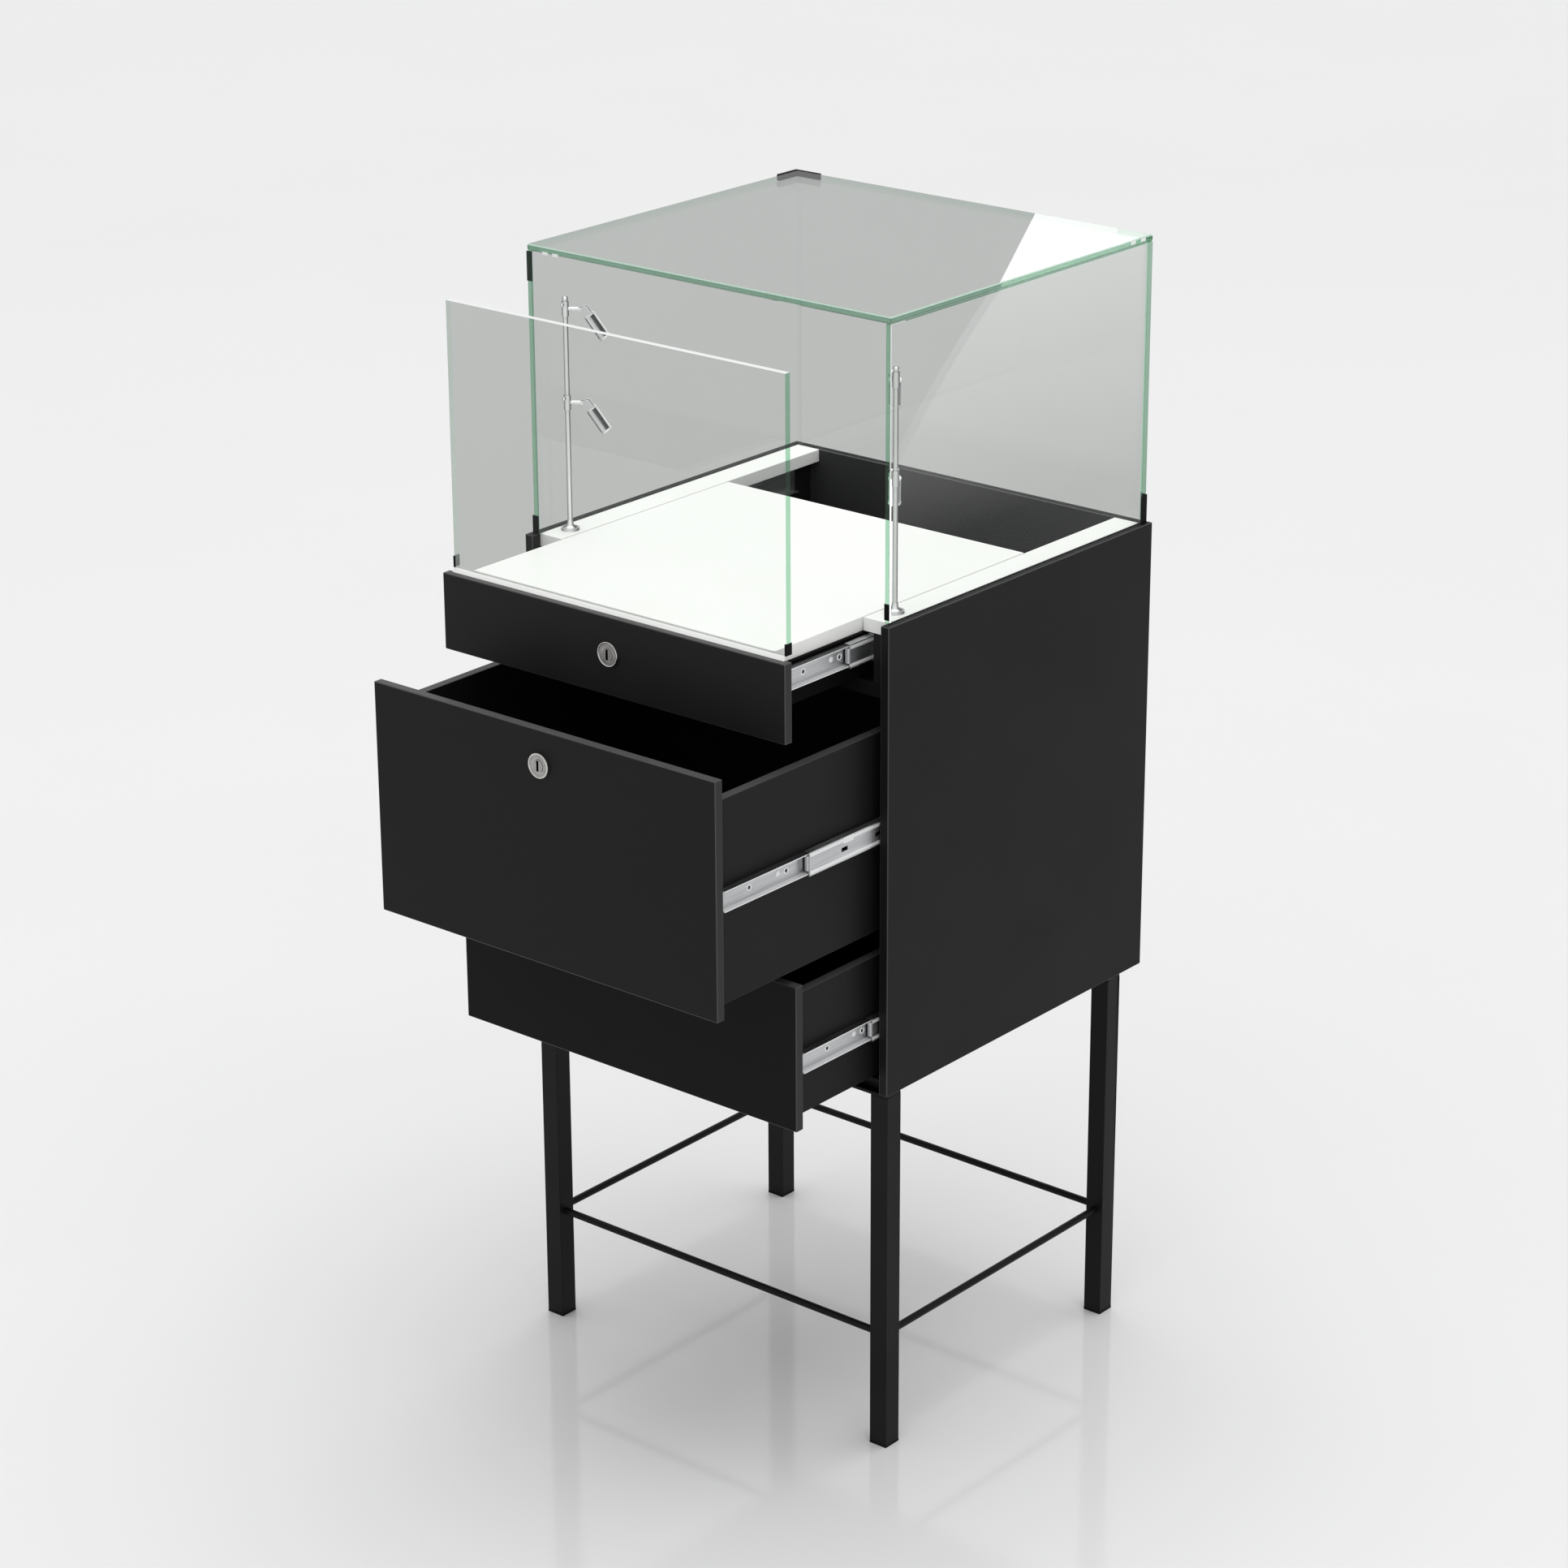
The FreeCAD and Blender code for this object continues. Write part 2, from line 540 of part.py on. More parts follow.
# Light poles on the rails
POLE_X = "(" + INSIDE + " - size.rail_width / 2)"
POLE_Y = "(" + FRONT + " + size.pole_front)"
POLE_Z = "(" + RIM + " + size.pole_base_height)"
pole = round_bar("pole_right", "size.pole_diameter",
                 "size.upper_arm_height + size.pole_tip - size.pole_base_height",
                 [POLE_X, POLE_Y, POLE_Z], "z")
light_poles = pair("light_poles", pole)
base_right = round_bar("pole_base_right", "size.pole_base", "size.pole_base_height",
                       [POLE_X, POLE_Y, RIM], "z")
pole_bases = pair("pole_bases", base_right)

# Place of each pole, angle of its arms measured from +X towards +Y, and dip of its heads
LEFT_STAND = ("-" + POLE_X, "(size.left_arm_turn * 1 deg)", "(size.head_tilt * 1 deg)")
RIGHT_STAND = (POLE_X, "(180 deg - size.right_arm_turn * 1 deg)", "((size.head_tilt + size.right_head_drop) * 1 deg)")


# Light arms: a collar on the pole, a short rod, and a flat tongue with an eye at its end
def light_arm(name, height, stand):
    collar = round_bar(name + "_collar", "size.collar_diameter", "size.collar_height",
                       ["0", "0", "-size.collar_height / 2"], "z")
    stick_end = "(size.arm_reach - size.eye_diameter / 2 - size.tongue_gap)"
    stick = round_bar(name + "_stick", "size.arm_diameter", stick_end, ["0", "0", "0"], "x")
    tongue_length = "size.tongue_seat + size.tongue_gap + size.eye_diameter / 2"
    tongue = block(name + "_tongue", [tongue_length, "size.eye_thickness", "size.arm_diameter"],
                   [stick_end + " - size.tongue_seat", "-size.eye_thickness / 2", "-size.arm_diameter / 2"])
    eye = round_bar(name + "_eye", "size.eye_diameter", "size.eye_thickness",
                    ["size.arm_reach", "-size.eye_thickness / 2", "0"], "y")
    solid = join(name + "_solid", [collar, stick, tongue, eye])
    pole_hole = round_bar(name + "_pole_hole", "size.pole_diameter + 2 * size.collar_clear",
                          "size.collar_height", ["0", "0", "-size.collar_height / 2"], "z")
    pin_hole = round_bar(name + "_pin_hole", "size.pin_diameter + 2 * size.pin_clear",
                         "size.eye_thickness", ["size.arm_reach", "-size.eye_thickness / 2", "0"], "y")
    holes = join(name + "_holes", [pole_hole, pin_hole])
    arm = cut(name, solid, holes)
    place_x, turn, dip = stand
    where = "create(<<vector>>; " + place_x + "; " + POLE_Y + "; " + RIM + " + " + height + ")"
    angles = "create(<<rotation>>; " + turn + "; 0 deg; 0 deg)"
    arm.setExpression("Placement", "create(<<placement>>; " + where + "; " + angles + ")")
    return arm


# Light heads: a cup on two cheeks with a cross pin through the eye of the arm, and a lens in its mouth
def light_head(name, height, stand):
    cheek_near = "(size.eye_thickness / 2 + size.cheek_gap)"
    cheek_left = round_bar(name + "_cheek_a", "size.eye_diameter", "size.cheek", ["0", cheek_near, "0"], "y")
    cheek_right = round_bar(name + "_cheek_b", "size.eye_diameter", "size.cheek",
                            ["0", "-" + cheek_near + " - size.cheek", "0"], "y")
    strap = ["size.head_start + size.head_wall", "size.cheek", "size.eye_diameter"]
    strap_left = block(name + "_strap_a", strap, ["0", cheek_near, "-size.eye_diameter / 2"])
    strap_right = block(name + "_strap_b", strap,
                        ["0", "-" + cheek_near + " - size.cheek", "-size.eye_diameter / 2"])
    pin = round_bar(name + "_pin", "size.pin_diameter", "2 * (" + cheek_near + " + size.cheek)",
                    ["0", "-" + cheek_near + " - size.cheek", "0"], "y")
    cup = round_bar(name + "_cup", "size.head_diameter", "size.head_length",
                    ["size.head_start", "0", "0"], "x")
    solid = join(name + "_solid", [cup, strap_left, strap_right, cheek_left, cheek_right, pin])
    mouth_depth = "(size.lens_inset + size.lens_thickness)"
    mouth = round_bar(name + "_mouth", "size.head_diameter - 2 * size.head_wall", mouth_depth,
                      ["size.head_start + size.head_length - " + mouth_depth, "0", "0"], "x")
    head = cut(name, solid, mouth)
    pole_x, turn, dip = stand
    place_x = "(" + pole_x + " + size.arm_reach * cos(" + turn + "))"
    place_y = "(" + POLE_Y + " + size.arm_reach * sin(" + turn + "))"
    where = "create(<<vector>>; " + place_x + "; " + place_y + "; " + RIM + " + " + height + ")"
    angles = "create(<<rotation>>; " + turn + "; " + dip + "; 0 deg)"
    placement = "create(<<placement>>; " + where + "; " + angles + ")"
    head.setExpression("Placement", placement)
    lens_x = "(size.head_start + size.head_length - " + mouth_depth + ")"
    lens_disc = round_bar(name + "_lens_disc", "size.head_diameter - 2 * size.head_wall",
                          "size.lens_thickness", [lens_x, "0", "0"], "x")
    lens = group(name.replace("head", "lens"), [lens_disc])
    lens.setExpression("Placement", placement)
    return [head, lens]


light_names = [
    ("left_upper", "size.upper_arm_height", LEFT_STAND),
    ("left_lower", "size.lower_arm_height", LEFT_STAND),
    ("right_upper", "size.upper_arm_height", RIGHT_STAND),
    ("right_lower", "size.lower_arm_height", RIGHT_STAND),
]
lights = []
for light, height, stand in light_names:
    lights.append(light_arm("light_arm_" + light, height, stand))
    lights = lights + light_head("light_head_" + light, height, stand)

NODES = [
    right_side_panel, left_side_panel, back_panel, bottom_panel, divider_panel,
    fillers, rails,
    leg_front_right, leg_rear_right, leg_front_left, leg_rear_left, foot_pads, leg_screws,
    stretchers, slide_fixed_members,
    glass_right, glass_left, glass_back, glass_top, glass_front,
    top_front, middle_front, bottom_front,
    tray_deck, tray_sides, tray_rear,
    light_poles, pole_bases,
]
NODES = NODES + top_slides + middle_slides + bottom_slides
NODES = NODES + middle_box + bottom_box + top_lock + middle_lock + lights

doc.recompute()

for item in doc.Objects:
    for state in item.State:
        if state in ("Invalid", "Error"):
            raise RuntimeError(item.Name + " did not build")
for item in NODES:
    if item.Shape.isNull():
        raise RuntimeError(item.Label + " is empty")
    if not item.Shape.isValid():
        raise RuntimeError(item.Label + " is not valid")

os.makedirs("parts", exist_ok=True)
for item in NODES:
    item.Shape.exportStep("parts/" + item.Label + ".step")
print(len(NODES), "sub-parts written")
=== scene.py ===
import math

import bmesh
import bpy
from mathutils import Matrix, Vector


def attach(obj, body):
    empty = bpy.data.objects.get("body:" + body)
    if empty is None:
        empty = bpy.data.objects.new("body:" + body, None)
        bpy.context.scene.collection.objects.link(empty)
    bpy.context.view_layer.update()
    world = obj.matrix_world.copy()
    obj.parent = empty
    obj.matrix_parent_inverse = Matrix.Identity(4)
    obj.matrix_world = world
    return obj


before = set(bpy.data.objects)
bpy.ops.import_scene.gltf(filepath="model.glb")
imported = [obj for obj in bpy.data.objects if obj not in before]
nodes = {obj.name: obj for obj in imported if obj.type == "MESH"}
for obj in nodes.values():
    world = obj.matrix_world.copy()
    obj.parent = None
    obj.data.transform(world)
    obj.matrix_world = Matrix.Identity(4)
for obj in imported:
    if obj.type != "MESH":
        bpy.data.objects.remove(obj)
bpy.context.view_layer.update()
scene = bpy.context.scene
scene.view_settings.view_transform = "Standard"

# Lengths are written in millimetres and turned to metres by MM
MM = 0.001
SIGNS = {"right": 1, "left": -1}
UP = Vector((0, 0, 1))

# Fixed glass box: faces of the side panes, its front and rear, the rim it stands on, and the top pane
SIDE_OUT, SIDE_IN = 272, 264
BOX_FRONT, BOX_REAR = -226, 270
RIM = 1046
TOP_UNDER, TOP_FACE = 1392, 1400

# Front pane on the top drawer: half its width, its outer face, the top of its seal, and the drawer front below it
PANE_HALF, PANE_FACE, PANE_FOOT, FRONT_TOP = 252, -383, 1047, 1042

# Locks: face of the drawer front and height, then the rose and the key slot in the plug
LOCKS = {"top": (-395, 998), "middle": (-514, 898)}
ROSE_FACE, PLUG_FACE = 3, 4
KEY_HALF_WIDTH, KEY_HALF_HEIGHT, KEY_DEPTH, KEY_SLACK = 1.7, 6.5, 5, 0.1

# Slides: wall they are fixed to, front end of the drawer member and of the middle member, and height
SLIDES = {"top": (246, -383, -262, 1012), "middle": (266, -502, -358.5, 796), "bottom": (266, -366, -245, 553)}
FLANGE_INSET, MEMBER_INSET, CARRIAGE_INSET, CARRIAGE_WEB, MEMBER_LENGTH = 11, 11.5, 2.0, 1.2, 415

# Lights: poles, reach and heights of the arms, how far each arm is turned and how far each head dips
LIGHTS = ("left_upper", "left_lower", "right_upper", "right_lower")
POLE_X, POLE_Y, POLE_FOOT, POLE_TOP = 248.5, -187, 1049, 1331
REACH = 24
HEIGHTS = {"upper": 1318, "lower": 1204}
TURNS = {"left": math.radians(33), "right": math.radians(50)}
TILTS = {"left": math.radians(56), "right": math.radians(75)}


def arm_direction(side):
    return Vector((-SIGNS[side] * math.cos(TURNS[side]), math.sin(TURNS[side]), 0))


def head_direction(side):
    return arm_direction(side) * math.cos(TILTS[side]) - UP * math.sin(TILTS[side])


# Pair of directions across the axis of a light head
def across_head(side):
    arm = arm_direction(side)
    return UP.cross(arm), arm * math.sin(TILTS[side]) + UP * math.cos(TILTS[side])


# Small helpers for node trees
def start_material(name):
    material = bpy.data.materials.new(name)
    material.use_nodes = True
    tree = material.node_tree
    tree.nodes.clear()
    out = tree.nodes.new("ShaderNodeOutputMaterial")
    return material, tree, out


def add(tree, kind, **values):
    node = tree.nodes.new("ShaderNode" + kind)
    for key, value in values.items():
        setattr(node, key, value)
    return node


def link(tree, source, target):
    tree.links.new(source, target)


# Sets a socket to a number or colour, or links it to another socket
def give(tree, socket, value):
    if isinstance(value, (int, float)):
        socket.default_value = value
    elif isinstance(value, tuple):
        socket.default_value = (*value, 1)
    else:
        link(tree, value, socket)


def calculate(tree, operation, *values):
    node = add(tree, "Math", operation=operation)
    for socket, value in zip(node.inputs, values):
        give(tree, socket, value)
    return node.outputs[0]


def mix_shaders(tree, share, first, second):
    node = add(tree, "MixShader")
    give(tree, node.inputs[0], share)
    link(tree, first, node.inputs[1])
    link(tree, second, node.inputs[2])
    return node.outputs["Shader"]


def two_colours(tree, factor, dark, light):
    node = add(tree, "Mix", data_type="RGBA")
    colours = [s for s in node.inputs if s.type == "RGBA"]
    give(tree, colours[0], dark)
    give(tree, colours[1], light)
    link(tree, factor, node.inputs["Factor"])
    return [s for s in node.outputs if s.type == "RGBA"][0]


def coordinates(tree, stretch=(1, 1, 1)):
    place = add(tree, "TexCoord")
    mapping = add(tree, "Mapping")
    mapping.inputs["Scale"].default_value = stretch
    link(tree, place.outputs["Object"], mapping.inputs["Vector"])
    return mapping.outputs["Vector"]


def component(tree, kind, axis):
    place = add(tree, "TexCoord")
    split = add(tree, "SeparateXYZ")
    link(tree, place.outputs[kind], split.inputs[0])
    return split.outputs[axis]


def along_normal(tree, direction):
    place = add(tree, "TexCoord")
    product = add(tree, "VectorMath", operation="DOT_PRODUCT")
    link(tree, place.outputs["Normal"], product.inputs[0])
    product.inputs[1].default_value = direction
    return product.outputs["Value"]


def noise(tree, vector, scale, detail=3.0, roughness=0.5):
    node = add(tree, "TexNoise")
    node.inputs["Scale"].default_value = scale
    node.inputs["Detail"].default_value = detail
    node.inputs["Roughness"].default_value = roughness
    link(tree, vector, node.inputs["Vector"])
    return node.outputs["Fac"]


def spread(tree, value, low, high, start=0.3, end=0.7):
    node = add(tree, "MapRange")
    node.inputs["From Min"].default_value = start
    node.inputs["From Max"].default_value = end
    node.inputs["To Min"].default_value = low
    node.inputs["To Max"].default_value = high
    link(tree, value, node.inputs["Value"])
    return node.outputs["Result"]


def bump(tree, height, strength, distance):
    node = add(tree, "Bump")
    node.inputs["Strength"].default_value = strength
    node.inputs["Distance"].default_value = distance
    link(tree, height, node.inputs["Height"])
    return node.outputs["Normal"]


def principled(tree, out, **values):
    node = add(tree, "BsdfPrincipled")
    for key, value in values.items():
        node.inputs[key].default_value = value
    link(tree, node.outputs["BSDF"], out.inputs["Surface"])
    return node


# Colour that drifts between two tones with a texture, and roughness that drifts about a value with another
def tone(tree, shader, texture, dark, light):
    link(tree, two_colours(tree, spread(tree, texture, 0, 1), dark, light), shader.inputs["Base Color"])


def roughen(tree, shader, texture, rough, below=0.05, above=0.05):
    link(tree, spread(tree, texture, rough - below, rough + above), shader.inputs["Roughness"])


# Black laminated board: faint cloudy tone, fine pearl in the surface
def board_material(name, dark, light, gloss, rough):
    material, tree, out = start_material(name)
    shader = principled(tree, out, **{"Specular IOR Level": gloss})
    place = coordinates(tree)
    cloud = noise(tree, place, scale=9.0, detail=4.0)
    grain = noise(tree, place, scale=1400.0, detail=2.0)
    both = calculate(tree, "MULTIPLY_ADD", grain, 0.45, calculate(tree, "MULTIPLY", cloud, 0.55))
    tone(tree, shader, both, dark, light)
    roughen(tree, shader, cloud, rough)
    link(tree, bump(tree, grain, strength=0.015, distance=0.0002), shader.inputs["Normal"])
    return material


# White lacquered board: warm white with a very faint orange peel
def white_material(name, dark, light, rough):
    material, tree, out = start_material(name)
    shader = principled(tree, out, **{"Specular IOR Level": 0.35})
    place = coordinates(tree)
    cloud = noise(tree, place, scale=6.0, detail=3.0)
    peel = noise(tree, place, scale=320.0, detail=2.0)
    tone(tree, shader, cloud, dark, light)
    roughen(tree, shader, peel, rough, below=0.04, above=0.04)
    link(tree, bump(tree, peel, strength=0.05, distance=0.0004), shader.inputs["Normal"])
    return material


# Share of light that plain glass mirrors, from square on to edge on
def reflectance(tree):
    weight = add(tree, "LayerWeight")
    weight.inputs["Blend"].default_value = 0.5
    steep = calculate(tree, "POWER", weight.outputs["Facing"], 5.0)
    return calculate(tree, "MULTIPLY_ADD", steep, 0.96, 0.012)


# Masks in the frame of the case, in metres: each is one where its name says and zero elsewhere
REAR_LINE, FOOT_HEIGHT, FORE_LINE, FACING_LIMIT = 0.05, 1.0485, -0.2, 0.3


def rear_left(tree):
    depth = calculate(tree, "SUBTRACT", component(tree, "Object", "Y"), component(tree, "Object", "X"))
    return calculate(tree, "GREATER_THAN", depth, REAR_LINE)


def at_foot(tree):
    return calculate(tree, "LESS_THAN", component(tree, "Object", "Z"), FOOT_HEIGHT)


def facing_up(tree):
    return calculate(tree, "GREATER_THAN", component(tree, "Normal", "Z"), FACING_LIMIT)


def front_right(tree):
    fore = calculate(tree, "LESS_THAN", component(tree, "Object", "Y"), FORE_LINE)
    rightward = calculate(tree, "GREATER_THAN", component(tree, "Normal", "X"), FACING_LIMIT)
    return calculate(tree, "MULTIPLY", fore, rightward)


# Ground edge of a pane: part matt, except where it is glued, and paler along a line that is a painted highlight
def ground_edge(tree, body, cloud, colour, share, glued, painted_highlight):
    ground = add(tree, "BsdfPrincipled")
    link(tree, spread(tree, cloud, 0.3, 0.5), ground.inputs["Roughness"])
    if painted_highlight:
        where, highlight_colour = painted_highlight
        line = where(tree)
        colour = two_colours(tree, line, colour, highlight_colour)
        share = spread(tree, line, share, 0.85, 0, 1)
    give(tree, ground.inputs["Base Color"], colour)
    if glued is not None:
        share = calculate(tree, "MULTIPLY", share, spread(tree, glued, 1, 0, 0, 1))
    return mix_shaders(tree, share, body, ground.outputs["BSDF"])


# Very faint white film that is thicker towards the top and shows lamp glare as a painted reflection
def glare_film_over(tree, body, low, high, least, most):
    film = add(tree, "BsdfDiffuse")
    film.inputs["Color"].default_value = (1, 1, 1, 1)
    share = spread(tree, component(tree, "Object", "Z"), least, most, low, high)
    return mix_shaders(tree, share, body, film.outputs["BSDF"])


# Float glass: a faintly tinted sheet that is seen straight through and mirrors what is before it.
# Lamps and light from matt surfaces pass it at every slant. Ground edges are part see-through, part matt.
# Faint says where such an edge is glued and shows only a light tint, and the highlight mask where a paler line is
# painted as a highlight.
# The glare film, a white film standing in for a reflection, takes the lower and upper height and the least and most
# share.
def glass_material(name, dark, light, ground_colour=None, ground_share=0.0, faint=None, painted_highlight=None, glare_film=None):
    material, tree, out = start_material(name)
    cloud = noise(tree, coordinates(tree), scale=6.0, detail=3.0)
    tint = two_colours(tree, spread(tree, cloud, 0, 1), dark, light)
    glued = None
    if faint:
        where, faint_tint = faint
        glued = where(tree)
        tint = two_colours(tree, glued, tint, faint_tint)
    through = add(tree, "BsdfTransparent")
    link(tree, tint, through.inputs["Color"])
    body = through.outputs["BSDF"]
    if ground_colour:
        body = ground_edge(tree, body, cloud, ground_colour, ground_share, glued, painted_highlight)
    if glare_film:
        body = glare_film_over(tree, body, *glare_film)
    mirror = add(tree, "BsdfGlossy")
    mirror.inputs["Roughness"].default_value = 0.0
    seen = mix_shaders(tree, reflectance(tree), body, mirror.outputs["BSDF"])
    path = add(tree, "LightPath")
    lit = calculate(tree, "MAXIMUM", path.outputs["Is Shadow Ray"], path.outputs["Is Diffuse Ray"])
    link(tree, mix_shaders(tree, lit, seen, through.outputs["BSDF"]), out.inputs["Surface"])
    return material


# Frosted lens of the lights
def lens_material(name, dark, light):
    material, tree, out = start_material(name)
    shader = principled(tree, out, **{"Specular IOR Level": 0.5})
    dots = add(tree, "TexVoronoi")
    dots.inputs["Scale"].default_value = 700.0
    link(tree, coordinates(tree), dots.inputs["Vector"])
    distance = dots.outputs["Distance"]
    link(tree, two_colours(tree, distance, light, dark), shader.inputs["Base Color"])
    link(tree, spread(tree, distance, 0.18, 0.4, 0, 1), shader.inputs["Roughness"])
    link(tree, bump(tree, distance, strength=0.4, distance=0.0004), shader.inputs["Normal"])
    return material


# Powder coated steel
def coat_material(name, dark, light, rough):
    material, tree, out = start_material(name)
    shader = principled(tree, out, **{"Specular IOR Level": 0.14})
    place = coordinates(tree)
    peel = noise(tree, place, scale=900.0, detail=2.0)
    tone(tree, shader, noise(tree, place, scale=12.0, detail=3.0), dark, light)
    roughen(tree, shader, peel, rough, below=0.06, above=0.06)
    link(tree, bump(tree, peel, strength=0.15, distance=0.0003), shader.inputs["Normal"])
    return material


# Metal with brush lines along one direction
def metal_material(name, dark, light, rough, stretch, strength=0.08, metallic=1.0):
    material, tree, out = start_material(name)
    shader = principled(tree, out, **{"Metallic": metallic})
    lines = noise(tree, coordinates(tree, stretch), scale=1.0, detail=4.0, roughness=0.6)
    tone(tree, shader, lines, dark, light)
    roughen(tree, shader, noise(tree, coordinates(tree), scale=25.0, detail=2.0), rough, below=0.05, above=0.06)
    link(tree, bump(tree, lines, strength=strength, distance=0.0002), shader.inputs["Normal"])
    return material


# Polished metal with a painted reflection along a round piece: bright bands in some turns about its axis, darker
# between.
# About is a pair of directions across the axis, the band count the number of painted bright bands round it,
# start where a band fades out, and upper a painted reflection on what faces upwards.
def painted_reflection_material(name, dark, light, rough, bright_turn, start, metallic, upper=None,
                      about=(Vector((1, 0, 0)), Vector((0, 1, 0))), reflection_bands=2):
    material, tree, out = start_material(name)
    shader = principled(tree, out, **{"Metallic": metallic})
    first, second = about
    angle = calculate(tree, "ARCTAN2", along_normal(tree, second), along_normal(tree, first))
    bands = calculate(tree, "MULTIPLY_ADD", angle, reflection_bands, -reflection_bands * math.radians(bright_turn))
    reflection_band = spread(tree, calculate(tree, "COSINE", bands), 0, 1, start, 0.9)
    colour = two_colours(tree, reflection_band, dark, light)
    if upper:
        upward = spread(tree, component(tree, "Normal", "Z"), 0, 1, 0.46, 0.52)
        colour = two_colours(tree, upward, colour, upper)
    link(tree, colour, shader.inputs["Base Color"])
    roughen(tree, shader, noise(tree, coordinates(tree), scale=60.0, detail=2.0), rough, below=0.04, above=0.05)
    return material


# Satin nickel: fine random grain, no direction
def satin_material(name, dark, light, rough):
    material, tree, out = start_material(name)
    shader = principled(tree, out, **{"Metallic": 1.0})
    place = coordinates(tree)
    grain = noise(tree, place, scale=900.0, detail=3.0)
    tone(tree, shader, noise(tree, place, scale=120.0, detail=2.0), dark, light)
    roughen(tree, shader, grain, rough)
    link(tree, bump(tree, grain, strength=0.1, distance=0.0001), shader.inputs["Normal"])
    return material


# Moulded plastic
def plastic_material(name, dark, light, rough):
    material, tree, out = start_material(name)
    shader = principled(tree, out, **{"Specular IOR Level": 0.06})
    grain = noise(tree, coordinates(tree), scale=1100.0, detail=2.0)
    tone(tree, shader, grain, dark, light)
    roughen(tree, shader, grain, rough)
    link(tree, bump(tree, grain, strength=0.1, distance=0.0002), shader.inputs["Normal"])
    return material


def grey(level):
    return level, level, level


# Boards
black = board_material("black_board", (0.0085, 0.0087, 0.0087), (0.0115, 0.0117, 0.0117), gloss=0.10, rough=0.46)
# Painted light: a lighter copy of the board for the fillers and the top drawer front
top_painted_light_black = board_material("black_board_top_painted_light", (0.0115, 0.0117, 0.0117), (0.0150, 0.0152, 0.0152),
                           gloss=0.11, rough=0.46)
# Painted shade: a darker copy of the board for the bottom drawer front, under the middle drawer
low_painted_shade_black = board_material("black_board_low_painted_shade", (0.0046, 0.0047, 0.0047), (0.0070, 0.0071, 0.0071),
                            gloss=0.08, rough=0.5)
# Painted shade: a darker copy of the board inside the tray and the drawer boxes
inside_painted_shade_black = board_material("black_board_inside_painted_shade", grey(0.0022), grey(0.0036), gloss=0.03, rough=0.55)
# Painted light: a lighter copy of the board for the inner face of the back panel
rear_painted_light_black = board_material("black_board_rear_painted_light", (0.044, 0.045, 0.045), (0.050, 0.051, 0.051), gloss=0.06, rough=0.5)
edge_black = board_material("board_edge", (0.0180, 0.0182, 0.0182), (0.0240, 0.0242, 0.0242), gloss=0.2, rough=0.42)
# Painted light on board edges that face up, and a painted highlight on the arrises
upward_painted_light_black = board_material("board_top_edge_painted_light", grey(0.0620), grey(0.0760), gloss=0.2, rough=0.42)
arris_painted_highlight_black = board_material("board_arris_painted_highlight", (0.0480, 0.0484, 0.0484), (0.0620, 0.0624, 0.0624), gloss=0.3, rough=0.4)
white = white_material("white_board", (0.925, 0.93, 0.905), (0.945, 0.95, 0.93), rough=0.38)

# Glass: faces, then free edges and arrises
CLEAR_TINTS = ((0.982, 0.988, 0.983), (0.988, 0.994, 0.989))
ARRIS_TINTS = ((0.22, 0.40, 0.29), (0.30, 0.50, 0.38))
EDGE_GROUND, ARRIS_GROUND, BARE_TINT = (0.50, 0.72, 0.58), (0.46, 0.68, 0.54), (0.97, 0.98, 0.97)
glass = glass_material("clear_glass", *CLEAR_TINTS)
# Painted reflection: the right pane has a white film that catches the side glare lamp
glare_film_glass = glass_material("side_glass_glare_film", *CLEAR_TINTS, glare_film=(1.12, 1.40, 0.0, 0.022))
edge = glass_material("glass_edge", (0.40, 0.68, 0.50), (0.48, 0.75, 0.57), EDGE_GROUND, 0.03,
                      faint=(rear_left, (0.95, 0.975, 0.96)))
edge_arris = glass_material("glass_arris", *ARRIS_TINTS, ARRIS_GROUND, 0.2,
                            faint=(rear_left, (0.94, 0.965, 0.95)))
# Painted highlights: a paler line on the right arris near the front and on top arris faces that face up
right_arris = glass_material("right_glass_arris", *ARRIS_TINTS, ARRIS_GROUND, 0.2,
                             faint=(at_foot, BARE_TINT), painted_highlight=(front_right, BARE_TINT))
pale_edge = glass_material("pale_glass_edge", (0.74, 0.86, 0.78), (0.80, 0.90, 0.83), (0.88, 0.94, 0.90), 0.3)
painted_shade_edge = glass_material("dark_glass_edge_painted_shade", (0.11, 0.19, 0.14), (0.20, 0.30, 0.24), (0.02, 0.03, 0.025), 0.3)
top_edge = glass_material("top_glass_edge", (0.36, 0.60, 0.45), (0.43, 0.67, 0.51), EDGE_GROUND, 0.03,
                          faint=(rear_left, (0.76, 0.87, 0.80)))
top_arris = glass_material("top_glass_arris", (0.28, 0.46, 0.35), (0.36, 0.54, 0.43), ARRIS_GROUND, 0.05,
                           faint=(rear_left, (0.82, 0.90, 0.85)), painted_highlight=(facing_up, (0.52, 0.72, 0.60)))
# Painted highlight: a nearly white matt edge for the front pane's top edge and the small corner clips
highlight_glass_edge = glass_material("front_glass_edge_painted_highlight", (0.90, 0.95, 0.92), (0.95, 0.98, 0.96), (0.95, 0.97, 0.955), 0.95)

# Frame, slides and locks
SLIDE_BRUSH = (900, 14, 900)
frame_black = coat_material("black_frame", grey(0.0037), grey(0.0058), rough=0.42)
zinc = metal_material("zinc_steel", (0.46, 0.47, 0.475), (0.66, 0.67, 0.68), 0.36, SLIDE_BRUSH)
# Lighter zinc: a painted highlight on the slide lips, also used for the pressed rims, rivets, tabs and races
bright_zinc_and_highlight = metal_material("zinc_lip_painted_highlight", (0.80, 0.805, 0.81), grey(0.94), 0.42, SLIDE_BRUSH,
                             strength=0.04, metallic=0.45)
